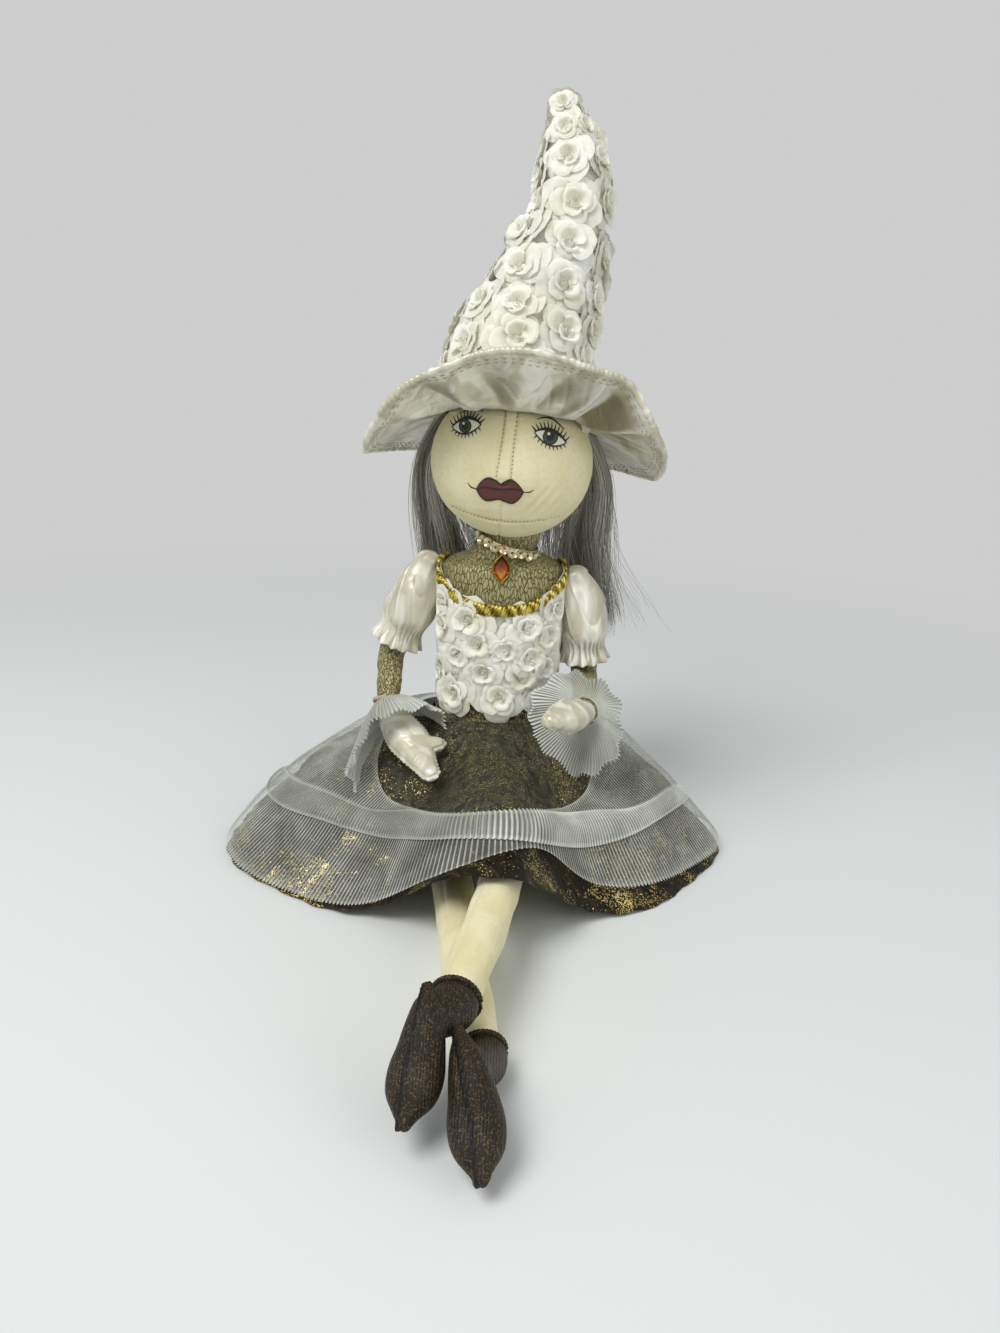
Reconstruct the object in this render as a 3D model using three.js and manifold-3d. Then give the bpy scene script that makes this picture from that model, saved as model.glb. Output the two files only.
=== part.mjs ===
// A seated cloth witch doll: millimetres, +Z up, the doll looks along -Y, the seat centre is the origin.
import * as THREE from 'three';
import { mergeVertices } from 'three/addons/utils/BufferGeometryUtils.js';
import Module from 'manifold-3d';

const wasm = await Module();
wasm.setup();

// Clearances
const clearance = 0.35;
const swingClearance = 0.9;
const layerGap = 1.3;

// Body
const seatWidth = 116;
const seatDepth = 88;
const hipWidth = 128;
const hipDepth = 98;
const hipHeight = 34;
const waistWidth = 86;
const waistDepth = 62;
const waistHeight = 112;
const chestWidth = 91;
const chestDepth = 62;
const chestHeight = 172;
const shoulderWidth = 90;
const shoulderDepth = 52;
const shoulderHeight = 210;
const shoulderCap = 12;
const bodyLean = 6.5;

// Neck and head
const neckRadius = 20;
const neckRise = 30;
const neckSideShift = 7;
const headWidth = 113;
const headDepth = 100;
const headHeight = 104;
const headRoll = 3.5;
const headForward = 5;
const nodForward = 10;
const liftRange = 60;
const dropRange = 60;

// Hat
const hatBandRadius = 49;
const hatRise = 207;
const hatLean = 23;
const hatTipRadius = 9;
const hatPitch = 11;
const brimWidth = 60;
const brimThickness = 3;
const brimFrontLift = 27;
const brimSideDroop = 32;
const brimBackDroop = 12;
const wireRadius = 2.6;
const roseRadius = 15;
const roseHeight = 6;

// Arms
const armRadius = 11;
const elbowRadius = 9.5;
const wristRadius = 8;
const palmWidth = 28;
const palmDepth = 22;
const sleeveRadius = 19;
const ruffleThickness = 1.4;
const tieRadius = 1.6;
const elbowRange = { right: 40, left: 15 };

// Legs and shoes
const thighRadius = 14.5;
const calfRadius = 13;
const ankleRadius = 11;
const hipSpacing = 56;
const shoeWidth = 27;
const shoeDepth = 24;

// Clothes
const clothGap = 0.5;
const chokerGap = 1;
const bodiceThickness = 2.6;
const necklineDip = 29;
const necklineRise = 4;
const trimRadius = 3.2;
const bandHeight = 7;
const bandThickness = 1.6;
const skirtThickness = 1.2;
const skirtSideReach = 184;
const skirtFrontReach = 138;
const skirtBackReach = 84;
const skirtFrontLift = 60;
const skirtFrontPull = 45;
const skirtShift = -4;
const ridgeHeight = 5;
const ridgePlace = 0.62;
const flounceReach = 0.97;
const flounceRecess = 0.2;
const overlayReach = 0.5;
const foldDepth = 3;
const foldCount = 9;

// Choker and pendant
const chokerHeight = 5;
const chokerThickness = 1.4;
const sequinRadius = 3.6;
const sequinThickness = 1.2;
const stoneWidth = 11;
const stoneHeight = 18;
const stoneDepth = 5;
const settingRim = 1.4;

const X = new THREE.Vector3(1, 0, 0);
const Y = new THREE.Vector3(0, 1, 0);
const Z = new THREE.Vector3(0, 0, 1);
const vec = (x, y, z) => new THREE.Vector3(x, y, z);
const rad = THREE.MathUtils.degToRad;

// A smooth value through [place, value] pairs, level beyond both ends
function smooth(pairs, at) {
  const last = pairs.length - 1;
  if (at <= pairs[0][0]) return pairs[0][1];
  if (at >= pairs[last][0]) return pairs[last][1];
  const i = pairs.findIndex(([place]) => place > at) - 1;
  const [x0, y0] = pairs[i];
  const [x1, y1] = pairs[i + 1];
  const slope = (j) => {
    const [a, b] = [pairs[Math.max(j - 1, 0)], pairs[Math.min(j + 1, last)]];
    return (b[1] - a[1]) / (b[0] - a[0]);
  };
  const w = x1 - x0;
  const t = (at - x0) / w;
  const t2 = t * t;
  const t3 = t2 * t;
  return (2 * t3 - 3 * t2 + 1) * y0 + (t3 - 2 * t2 + t) * w * slope(i)
    + (3 * t2 - 2 * t3) * y1 + (t3 - t2) * w * slope(i + 1);
}

// The same through values spread evenly from 0 to 1
const evenly = (values, t) => smooth(values.map((value, i) => [i / (values.length - 1), value]), t);

// One closed body from rings of points: ends close to a pole, or the last ring joins the first
function skin(rings, { loop = false, poles = null } = {}) {
  const around = rings[0].length;
  const points = rings.flat();
  const faces = [];
  const bands = loop ? rings.length : rings.length - 1;
  for (let i = 0; i < bands; i += 1) {
    const j = (i + 1) % rings.length;
    for (let k = 0; k < around; k += 1) {
      const n = (k + 1) % around;
      const [a, b, c, d] = [i * around + k, i * around + n, j * around + n, j * around + k];
      faces.push(a, b, c, a, c, d);
    }
  }
  if (!loop) {
    const first = points.length;
    points.push(poles[0], poles[1]);
    const top = (rings.length - 1) * around;
    for (let k = 0; k < around; k += 1) {
      const n = (k + 1) % around;
      faces.push(first, n, k, first + 1, top + k, top + n);
    }
  }
  return solid(new THREE.BufferGeometry().setFromPoints(points).setIndex(outward(points, faces)));
}

// The faces with their outsides out, by the sign of the volume that they enclose
function outward(points, faces) {
  let volume = 0;
  for (let i = 0; i < faces.length; i += 3) {
    const [a, b, c] = [points[faces[i]], points[faces[i + 1]], points[faces[i + 2]]];
    volume += a.dot(b.clone().cross(c));
  }
  if (volume > 0) return faces;
  for (let i = 0; i < faces.length; i += 3) [faces[i], faces[i + 1]] = [faces[i + 1], faces[i]];
  return faces;
}

// A three.js geometry as a solid that can be joined and cut
function solid(geometry) {
  const bare = geometry.clone();
  bare.deleteAttribute('normal');
  bare.deleteAttribute('uv');
  const merged = mergeVertices(bare, 1e-3);
  const vertProperties = Float32Array.from(merged.attributes.position.array);
  const triVerts = Uint32Array.from(merged.index.array);
  return new wasm.Manifold(new wasm.Mesh({ numProp: 3, vertProperties, triVerts }));
}

// The largest single body of a solid, so that a cut leaves no loose crumbs
function largest(body) {
  return body.decompose().reduce((best, piece) => (piece.volume() > best.volume() ? piece : best));
}

const without = (body, ...cutters) => cutters.reduce((left, cutter) => left.subtract(cutter), body);
const joined = (bodies) => bodies.reduce((all, body) => all.add(body));

// A body turned by an angle about an axis through a pivot
function turned(body, pivot, axis, degrees) {
  const matrix = new THREE.Matrix4().makeTranslation(pivot)
    .multiply(new THREE.Matrix4().makeRotationAxis(axis, rad(degrees)))
    .multiply(new THREE.Matrix4().makeTranslation(pivot.clone().negate()));
  return body.transform(matrix.elements);
}

// The room that a straight limb sweeps as it swings about X: a rounded wedge, extruded along X
function sweptRoom({ pivot, toward, radius, swing, reach = 90 }) {
  const ends = [0, swing].map((degrees) => toward.clone().setX(0).normalize().applyAxisAngle(X, rad(degrees)));
  const sign = Math.sign(swing);
  const outline = [];
  const corner = (direction, side, far) => direction.clone().applyAxisAngle(X, (-side * sign * Math.PI) / 2)
    .multiplyScalar(radius).addScaledVector(direction, far);
  outline.push(corner(ends[0], 1, reach), corner(ends[0], 1, 0));
  const back = Math.PI - rad(Math.abs(swing));
  for (let i = 1; i < 5; i += 1) {
    outline.push(corner(ends[0], 1, 0).applyAxisAngle(X, (-sign * back * i) / 5));
  }
  outline.push(corner(ends[1], -1, 0), corner(ends[1], -1, reach));
  outline.push(ends[0].clone().add(ends[1]).normalize().multiplyScalar(reach * 1.5));
  const shape = new THREE.Shape(outline.map((p) => new THREE.Vector2(p.y, p.z)));
  const geometry = new THREE.ExtrudeGeometry(shape, { depth: 2 * radius, bevelEnabled: false, steps: 1 });
  geometry.translate(0, 0, -radius);
  geometry.applyMatrix4(new THREE.Matrix4().makeBasis(Y, Z, X));
  geometry.translate(pivot.x, pivot.y, pivot.z);
  return solid(geometry);
}

function ball(centre, radii, sides = 20, rings = 12) {
  const geometry = new THREE.SphereGeometry(1, sides, rings);
  geometry.rotateX(Math.PI / 2);
  geometry.scale(radii.x, radii.y, radii.z);
  geometry.translate(centre.x, centre.y, centre.z);
  return solid(geometry);
}

function block(min, max) {
  const size = max.clone().sub(min);
  const centre = max.clone().add(min).multiplyScalar(0.5);
  return solid(new THREE.BoxGeometry(size.x, size.y, size.z).translate(centre.x, centre.y, centre.z));
}

// A stuffed limb: ellipses across a smooth path, with a rounded or a flat end
function limb({
  path, width, depth = width, sides = 14, steps = 8, side = X, grow = 0, round = [1, 1], domeSteps = 3, swell = null,
}) {
  const curve = new THREE.CatmullRomCurve3(path, false, 'centripetal');
  const rings = [];
  const ring = (centre, tangent, w, d, t = null) => {
    const u = side.clone().addScaledVector(tangent, -side.dot(tangent)).normalize();
    const v = tangent.clone().cross(u);
    return Array.from({ length: sides }, (_, k) => {
      const a = (2 * Math.PI * k) / sides;
      const more = swell && t !== null ? swell(a, t) : 0;
      return centre.clone().addScaledVector(u, (w + more) * Math.cos(a)).addScaledVector(v, (d + more) * Math.sin(a));
    });
  };
  const at = (t) => ({
    centre: curve.getPoint(t), tangent: curve.getTangent(t).normalize(),
    w: evenly(width, t) + grow, d: evenly(depth, t) + grow,
  });
  const dome = (t, sign, amount) => {
    const { centre, tangent, w, d } = at(t);
    const reach = ((w + d) / 2) * amount;
    const made = [];
    for (let i = 1; i < domeSteps; i += 1) {
      const a = (Math.PI / 2) * (i / domeSteps);
      const place = centre.clone().addScaledVector(tangent, sign * reach * Math.sin(a));
      made.push(ring(place, tangent, w * Math.cos(a), d * Math.cos(a)));
    }
    return { made, pole: centre.clone().addScaledVector(tangent, sign * reach) };
  };
  const start = round[0] ? dome(0, -1, round[0]) : { made: [], pole: at(0).centre };
  const end = round[1] ? dome(1, 1, round[1]) : { made: [], pole: at(1).centre };
  rings.push(...start.made.reverse());
  for (let i = 0; i <= steps; i += 1) {
    const { centre, tangent, w, d } = at(i / steps);
    rings.push(ring(centre, tangent, w, d, i / steps));
  }
  rings.push(...end.made);
  return skin(rings, { poles: [start.pole, end.pole] });
}

// A sheet that goes all round: two skins at set distances from a surface of (angle, fall)
function sheet({ surface, around, down, inner, outer, slant = 0.01 }) {
  const normal = (a, t) => {
    const along = surface(a + slant, t).sub(surface(a - slant, t));
    const fall = surface(a, Math.min(t + slant, 1)).sub(surface(a, Math.max(t - slant, 0)));
    return fall.cross(along).normalize();
  };
  const rings = Array.from({ length: around }, (_, i) => {
    const a = (2 * Math.PI * i) / around;
    const places = Array.from({ length: down + 1 }, (_, k) => k / down);
    const skinAt = (t, offset) => surface(a, t).addScaledVector(
      normal(a, t), typeof offset === 'function' ? offset(a, t) : offset,
    );
    return [...places.map((t) => skinAt(t, outer)), ...places.reverse().map((t) => skinAt(t, inner))];
  });
  return skin(rings, { loop: true });
}

// A cord or a piping that closes on itself, along a curve of the angle
function hoop({ curve, radius, flat = radius, around, sides = 6 }) {
  const rings = Array.from({ length: around }, (_, i) => {
    const a = (2 * Math.PI * i) / around;
    const centre = curve(a);
    const tangent = curve(a + 0.01).sub(curve(a - 0.01)).normalize();
    const up = Z.clone().addScaledVector(tangent, -Z.dot(tangent)).normalize();
    const out = tangent.clone().cross(up);
    return Array.from({ length: sides }, (_, k) => {
      const b = (2 * Math.PI * k) / sides;
      return centre.clone().addScaledVector(out, radius * Math.cos(b)).addScaledVector(up, flat * Math.sin(b));
    });
  });
  return skin(rings, { loop: true });
}

// Body profile: half width, half depth and middle at each height
const shoulderTop = shoulderHeight + shoulderCap;
const halfWidths = [
  [0, seatWidth / 2], [hipHeight, hipWidth / 2], [waistHeight, waistWidth / 2],
  [chestHeight, chestWidth / 2], [shoulderHeight, shoulderWidth / 2],
  [shoulderHeight + shoulderCap * 0.7, shoulderWidth * 0.36], [shoulderTop, neckRadius * 0.9],
];
const halfDepths = [
  [0, seatDepth / 2], [hipHeight, hipDepth / 2], [waistHeight, waistDepth / 2],
  [chestHeight, chestDepth / 2], [shoulderHeight, shoulderDepth / 2],
  [shoulderHeight + shoulderCap * 0.7, shoulderDepth * 0.34], [shoulderTop, neckRadius * 0.7],
];
const nodPivot = vec(bodyLean + neckSideShift, -2, shoulderHeight + neckRise);
const middles = [
  [0, 0], [waistHeight, bodyLean], [shoulderHeight, bodyLean],
  [nodPivot.z, nodPivot.x],
];
const bodyAt = (z) => ({ x: smooth(middles, z), w: smooth(halfWidths, z), d: smooth(halfDepths, z) });
const onBody = (angle, z, grow = 0) => {
  const { x, w, d } = bodyAt(z);
  return vec(x + (w + grow) * Math.cos(angle), (d + grow) * Math.sin(angle), z);
};

function bodySolid(grow, sides = 24) {
  const heights = [0, 0.35, 0.7, 1, 1.5, 2].map((share) => share * hipHeight)
    .concat([0.5, 1, 1.3, 1.6].map((share) => 2 * hipHeight + share * (waistHeight - 2 * hipHeight)))
    .concat([0.4, 0.7, 1, 1.5].map((share) => waistHeight + share * (chestHeight - waistHeight)))
    .concat([shoulderHeight])
    .concat([0.4, 0.7, 1].map((share) => shoulderHeight + shoulderCap * share));
  const rings = heights.map((z) => Array.from({ length: sides }, (_, k) => (
    onBody((2 * Math.PI * k) / sides, z, grow))));
  const poles = [vec(0, 0, 0), vec(bodyAt(shoulderTop).x, 0, shoulderTop + grow)];
  return skin(rings, { poles });
}

// Neck: a tapered column with a ball top that the head nods on
const neckFoot = vec(bodyAt(shoulderTop).x, 0, shoulderTop - 8);
function neckSolid(grow) {
  return limb({
    path: [neckFoot, neckFoot.clone().lerp(nodPivot, 0.5), nodPivot],
    width: [neckRadius * 1.25, neckRadius, neckRadius, neckRadius], depth: [neckRadius, neckRadius],
    steps: 5, sides: 20, grow, round: [0, 1], domeSteps: 5,
  });
}

// The socket in the head for the ball of the neck, flared below it for the nod
function neckRoom() {
  const radius = neckRadius + swingClearance;
  const foot = nodPivot.clone().addScaledVector(Z, -neckRise);
  return limb({
    path: [nodPivot, foot], width: [radius, radius * 1.1 + neckRise * Math.tan(rad(nodForward))],
    sides: 20, steps: 1, round: [1, 0], domeSteps: 5,
  });
}

const headCentre = vec(nodPivot.x - 3.5, nodPivot.y - headForward, nodPivot.z + headHeight * 0.43);
const headTurn = new THREE.Matrix4().makeTranslation(headCentre)
  .multiply(new THREE.Matrix4().makeRotationY(rad(headRoll)))
  .multiply(new THREE.Matrix4().makeTranslation(headCentre.clone().negate()));
const inHead = (x, y, z) => vec(x, y, z).add(headCentre).applyMatrix4(headTurn);

function headSolid(grow) {
  const radii = vec(headWidth / 2 + grow, headDepth / 2 + grow, headHeight / 2 + grow);
  return ball(headCentre, radii, 24, 14).transform(headTurn.elements);
}

// Hat: the band circle is tipped back, and the crown leans to one side as it rises
const bandCentre = inHead(-1, 2, headHeight * 0.26);
const hatTurn = new THREE.Matrix4().makeRotationY(rad(headRoll))
  .multiply(new THREE.Matrix4().makeRotationX(-rad(hatPitch)));
const inHat = (x, y, z) => vec(x, y, z).applyMatrix4(hatTurn).add(bandCentre);
const crownStations = [
  { rise: 0.012, lean: 0, radius: hatBandRadius },
  { rise: 0.21, lean: -0.02, radius: hatBandRadius * 0.93 },
  { rise: 0.38, lean: 0.42, radius: hatBandRadius * 0.74 },
  { rise: 0.52, lean: 0.7, radius: hatBandRadius * 0.6 },
  { rise: 0.68, lean: 1, radius: hatBandRadius * 0.47 },
  { rise: 0.86, lean: 0.86, radius: hatBandRadius * 0.37 },
  { rise: 1, lean: 0.6, radius: hatTipRadius },
];
const crownPath = crownStations.map(({ rise, lean }) => inHat(lean * hatLean, 0, rise * hatRise));
const crownRadii = crownStations.map(({ radius }) => radius);

// How far the gathered fabric roses stand out at a place on a clothed surface: rows of roses, each row
// set half a rose round from the one before, whose petals rise to a ring and dip at the bud
function roseSwell(angle, fall, girth) {
  const pitch = roseRadius * 1.7;
  let most = 0;
  for (let row = Math.floor(fall / pitch) - 1; row <= Math.floor(fall / pitch) + 1; row += 1) {
    const count = Math.max(3, Math.round(girth / (roseRadius * 1.85)));
    const turn = (2 * Math.PI) / count;
    const start = -Math.PI / 2 + (row % 2 ? turn / 2 : 0);
    const off = angle - start - turn * Math.round((angle - start) / turn);
    const share = Math.hypot((off * girth) / (2 * Math.PI), fall - (row + 0.5) * pitch) / roseRadius;
    if (share < 1) most = Math.max(most, (1 - share ** 4) * (0.85 - 0.15 * Math.cos(5 * share)));
  }
  return roseHeight * most;
}

const crownCurve = new THREE.CatmullRomCurve3(crownPath, false, 'centripetal');
const crownLength = crownCurve.getLength();
function crownSwell(angle, t) {
  const fall = (1 - t) * crownLength;
  const near = Math.min(1, t / 0.12);
  return near * roseSwell(angle, fall, 2 * Math.PI * evenly(crownRadii, t));
}

const crownSolid = (grow, swell = null) => limb({
  path: crownPath, width: crownRadii, depth: crownRadii.map((radius) => radius * 0.93),
  sides: swell ? 22 : 18, steps: swell ? 18 : 8, grow, swell, round: [0, 1],
});

// Brim: turned up in front to a corner at the doll's left, drooping at both sides, less so at the back
const brimLifts = [
  [-180, -brimSideDroop], [-167, -brimSideDroop], [-149, -0.67 * brimSideDroop], [-137, -0.23 * brimSideDroop],
  [-125, 0.22 * brimFrontLift], [-114, 0.52 * brimFrontLift], [-106, 0.78 * brimFrontLift],
  [-97, 0.95 * brimFrontLift], [-87, brimFrontLift], [-77, 0.93 * brimFrontLift], [-66, 0.81 * brimFrontLift],
  [-52, 0.68 * brimFrontLift], [-42, 0.1 * brimFrontLift], [-33, -0.28 * brimSideDroop],
  [-16, -0.66 * brimSideDroop], [0, -0.88 * brimSideDroop], [20, -0.8 * brimSideDroop],
  [40, -0.6 * brimSideDroop], [65, -1.15 * brimBackDroop], [90, -brimBackDroop], [115, -1.15 * brimBackDroop],
  [140, -0.66 * brimSideDroop], [160, -0.85 * brimSideDroop], [180, -brimSideDroop],
];
function brimPoint(angle, t) {
  const lift = smooth(brimLifts, THREE.MathUtils.euclideanModulo(THREE.MathUtils.radToDeg(angle) + 180, 360) - 180);
  const reach = hatBandRadius + 0.6 + t * Math.sqrt(Math.max(brimWidth ** 2 - lift ** 2, 100));
  return inHat(reach * Math.cos(angle), reach * 0.93 * Math.sin(angle), 2 + lift * Math.max(t, 0) ** 1.4);
}

function brimSolid(grow = 0) {
  return sheet({
    surface: (a, t) => brimPoint(a, t * 0.97 - (1 - t) * grow * 0.02), around: 36, down: 3,
    inner: -brimThickness / 2 - grow, outer: brimThickness / 2 + grow,
  });
}

const wireSolid = (grow = 0) => hoop({
  curve: (a) => brimPoint(a, 1), radius: wireRadius + grow, around: 36, sides: 5,
});

// Arms: shoulder, elbow, wrist and fingertip of each side, right arm first
const sideReach = shoulderWidth / 2 + armRadius + bodiceThickness;
const arms = {
  right: {
    shoulder: vec(bodyLean - sideReach, 0, shoulderHeight - 13),
    elbow: vec(bodyLean - sideReach - 21, 5, shoulderHeight - 71),
    wrist: vec(bodyLean - sideReach - 21, -20, shoulderHeight - 105),
    tip: vec(bodyLean - sideReach + 17, -88, shoulderHeight - 128),
    thumb: vec(22, 4, 9),
  },
  left: {
    shoulder: vec(bodyLean + sideReach, 0, shoulderHeight - 19),
    elbow: vec(bodyLean + sideReach + 6, 4, shoulderHeight - 78),
    wrist: vec(bodyLean + sideReach + 5, -50, shoulderHeight - 91),
    tip: vec(bodyLean + sideReach - 25, -98, shoulderHeight - 83),
    thumb: vec(-4, 4, 13),
  },
};

// The space that belongs to the trunk, between the two planes that the arms swing outside
const trunkHalf = shoulderWidth / 2 + bodiceThickness - 0.8;
function trunkSlab(grow) {
  const reach = trunkHalf + grow;
  return block(vec(bodyLean - reach, -90, chestHeight - 40), vec(bodyLean + reach, 90, shoulderTop + 12));
}

function upperArmSolid({ shoulder, elbow }, grow = 0) {
  const stop = elbow.clone().lerp(shoulder, elbowRadius / elbow.distanceTo(shoulder));
  return limb({
    path: [shoulder, shoulder.clone().lerp(stop, 0.5), stop],
    width: [armRadius, armRadius, elbowRadius], steps: 5, sides: 12, grow, round: [1, 0],
  });
}

function forearmSolid({ elbow, wrist }, grow = 0) {
  return limb({
    path: [elbow, elbow.clone().lerp(wrist, 0.5), wrist],
    width: [elbowRadius, wristRadius + 0.8, wristRadius], steps: 4, sides: 12, grow, round: [1, 0],
  });
}

function handSolid({ wrist, tip, thumb }, grow = 0) {
  const reach = tip.clone().sub(wrist);
  const start = wrist.clone().addScaledVector(reach.clone().normalize(), clearance);
  const palm = limb({
    path: [start, wrist.clone().addScaledVector(reach, 0.5), tip.clone().addScaledVector(reach, -0.09)],
    width: [wristRadius, palmWidth * 0.42, palmWidth / 2, palmWidth * 0.34, palmWidth * 0.2],
    depth: [wristRadius, palmDepth * 0.44, palmDepth / 2, palmDepth * 0.36, palmDepth * 0.24],
    steps: 7, sides: 14, grow, round: [0, 1],
  });
  const root = wrist.clone().addScaledVector(reach, 0.5);
  const stub = limb({
    path: [root, root.clone().addScaledVector(thumb, 0.5), root.clone().add(thumb)],
    width: [palmDepth * 0.3, palmDepth * 0.28, palmDepth * 0.18], side: Y, steps: 3, sides: 8, grow,
  });
  return palm.add(stub);
}

// Puffed sleeve: narrow where it starts beside the neckline, full below, drawn in above a small frill
function sleeveSolid({ shoulder, elbow }) {
  const fall = elbow.clone().sub(shoulder);
  const inward = Math.sign(bodyLean - shoulder.x);
  const top = shoulder.clone().addScaledVector(X, 0.3 * inward * sleeveRadius).addScaledVector(Z, 0.75 * sleeveRadius);
  return limb({
    path: [top, shoulder.clone().addScaledVector(fall, 0.08), shoulder.clone().addScaledVector(fall, 0.45),
      shoulder.clone().addScaledVector(fall, 0.82)],
    width: [0.5, 0.7, 0.84, 0.94, 1, 0.8, 0.98].map((share) => share * sleeveRadius),
    steps: 8, sides: 14, round: [0.8, 0],
  });
}

// Organza cuff: a pleated cone that opens from the wrist over the hand
const cuffs = {
  right: { flare: 30, length: 38, forward: -6, drop: vec(-5, 0, -12) },
  left: { flare: 27, length: 6, forward: 0, drop: vec(8, 0, -8) },
};
function cuffSheet(arm, { flare, length, forward, drop }, inner, outer) {
  const axis = arm.tip.clone().sub(arm.wrist).normalize();
  const u = X.clone().addScaledVector(axis, -X.dot(axis)).normalize();
  const v = axis.clone().cross(u);
  const root = arm.wrist.clone().addScaledVector(axis, 1);
  const surface = (a, t) => {
    const pleat = 1 + 0.05 * t * Math.cos(12 * a);
    const radius = (wristRadius + 1.2 + flare * t ** 0.8) * pleat;
    return root.clone().addScaledVector(axis, length * t ** 1.2 + forward * t * Math.cos(a))
      .addScaledVector(u, radius * Math.cos(a)).addScaledVector(v, radius * Math.sin(a)).addScaledVector(drop, t);
  };
  return sheet({ surface, around: 24, down: 3, inner, outer });
}
const ruffleSolid = (arm, cuff) => cuffSheet(arm, cuff, 0, ruffleThickness);
const ruffleGrown = (arm, cuff) => cuffSheet(arm, cuff, -clearance, ruffleThickness + clearance);

function tieSolid(arm) {
  const axis = arm.wrist.clone().sub(arm.elbow).normalize();
  const u = X.clone().addScaledVector(axis, -X.dot(axis)).normalize();
  const v = axis.clone().cross(u);
  const reach = wristRadius + tieRadius + 1;
  const centre = arm.wrist.clone().addScaledVector(axis, -3 - tieRadius);
  return hoop({
    curve: (a) => centre.clone().addScaledVector(u, reach * Math.cos(a)).addScaledVector(v, reach * Math.sin(a)),
    radius: tieRadius, around: 14, sides: 5,
  });
}

// Skirt: falls from the waist to an oval hem on the floor, lifted in front where the legs come out
const skirtStack = 3 * skirtThickness + 2 * layerGap;
const skirtTop = waistHeight - bandHeight - 2 * clothGap - skirtStack;
const overLegs = (angle) => {
  const off = Math.atan2(Math.cos(angle) - 0.06, -Math.sin(angle));
  return Math.exp(-((off / rad(20)) ** 2));
};
const hemReach = (angle) => {
  const forward = Math.sin(angle) < 0 ? skirtFrontReach : skirtBackReach;
  const square = 2.3 - 0.3 * Math.cos(angle);
  const [across, along] = [Math.abs(Math.cos(angle)) / skirtSideReach, Math.abs(Math.sin(angle)) / forward];
  return (across ** square + along ** square) ** (-1 / square) + skirtFrontPull * overLegs(angle);
};
const hemLift = (angle) => skirtFrontLift * overLegs(angle);
function skirtPoint(angle, t) {
  const top = onBody(angle, skirtTop, 2 * clothGap);
  const fold = foldDepth * t * Math.cos(foldCount * angle + 0.5);
  const hem = hemReach(angle) + fold;
  const foot = vec(skirtShift + hem * Math.cos(angle), hem * Math.sin(angle), hemLift(angle));
  const belly = 1.45 - 0.4 * Math.max(-Math.sin(angle), 0);
  const point = top.clone().lerp(foot, t);
  point.z = foot.z + (top.z - foot.z) * (1 - t ** belly);
  return point;
}

// The organza is doubled where it folds over the lap, which makes a soft ridge
const ridgeRise = (angle, t) => {
  const front = Math.max(-Math.sin(angle), 0) ** 0.5;
  return ridgeHeight * front * Math.exp(-(((t - ridgePlace) / 0.09) ** 2));
};
const flat = () => 0;
const raised = (angle, t, rise) => skirtPoint(angle, t).addScaledVector(Z, rise(angle, t));
const layerHeights = {
  under: skirtThickness, organza: 2 * skirtThickness + layerGap, glitter: skirtStack,
};
const skirtAround = foldCount * 4;
const skirtRows = 8;
const layer = (level, reach, rise = flat) => sheet({
  surface: (a, t) => raised(a, reach(a) * t, rise),
  around: skirtAround, down: Math.round(skirtRows * reach(0)), inner: level - skirtThickness, outer: level,
});

// Everything under a skirt layer, to cut what lies on it
function lapSolid(level, rise = flat) {
  const outline = (t) => Array.from({ length: skirtAround }, (_, i) => {
    const a = (2 * Math.PI * i) / skirtAround;
    const along = raised(a + 0.01, t, rise).sub(raised(a - 0.01, t, rise));
    const fall = raised(a, Math.min(t + 0.01, 1), rise).sub(raised(a, Math.max(t - 0.01, 0), rise));
    return raised(a, t, rise).addScaledVector(fall.cross(along).normalize(), level);
  });
  const rings = Array.from({ length: skirtRows + 1 }, (_, k) => outline(k / skirtRows));
  return skin(rings, { poles: [vec(bodyLean, 0, skirtTop), vec(0, 0, -20)] });
}

const underskirt = layer(layerHeights.under, () => 1);
const frontOpening = (angle) => Math.exp(-((Math.atan2(Math.cos(angle) - 0.06, -Math.sin(angle)) / rad(34)) ** 2));
const flounce = layer(
  layerHeights.organza, (angle) => flounceReach - flounceRecess * frontOpening(angle), ridgeRise,
);
const overlay = layer(layerHeights.glitter, () => overlayReach, ridgeRise);

// Legs: hip, knee, calf and ankle centres; the left leg crosses over the right one
const hipLine = vec(0, -seatDepth / 2 - 2, thighRadius + 1);
const legs = {
  right: {
    hip: vec(-hipSpacing / 2, hipLine.y, hipLine.z),
    path: [vec(-14, -135, calfRadius + 0.6), vec(-4, -215, calfRadius + 0.4), vec(8.5, -288, ankleRadius + 1)],
    heel: vec(-4, -304, 43), toe: vec(10, -366, 13),
  },
  left: {
    hip: vec(hipSpacing / 2, hipLine.y, hipLine.z + 6),
    path: [vec(14, -160, 41), vec(6, -214, 41), vec(-8, -282, 39)],
    heel: vec(-20, -289, 56), toe: vec(-26, -344, 21),
  },
};

function legSolid({ hip, path }, grow = 0) {
  return limb({
    path: [hip, ...path], width: [thighRadius, calfRadius + 0.8, calfRadius, calfRadius, ankleRadius],
    sides: 16, steps: 9, grow, round: [1, 0.5],
  });
}

// The socket that a thigh turns in, open along its whole swing
const hipRoom = ({ hip, path }, swing) => sweptRoom({
  pivot: hip, toward: path[0].clone().sub(hip), radius: thighRadius + swingClearance + clearance, swing,
});

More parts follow.
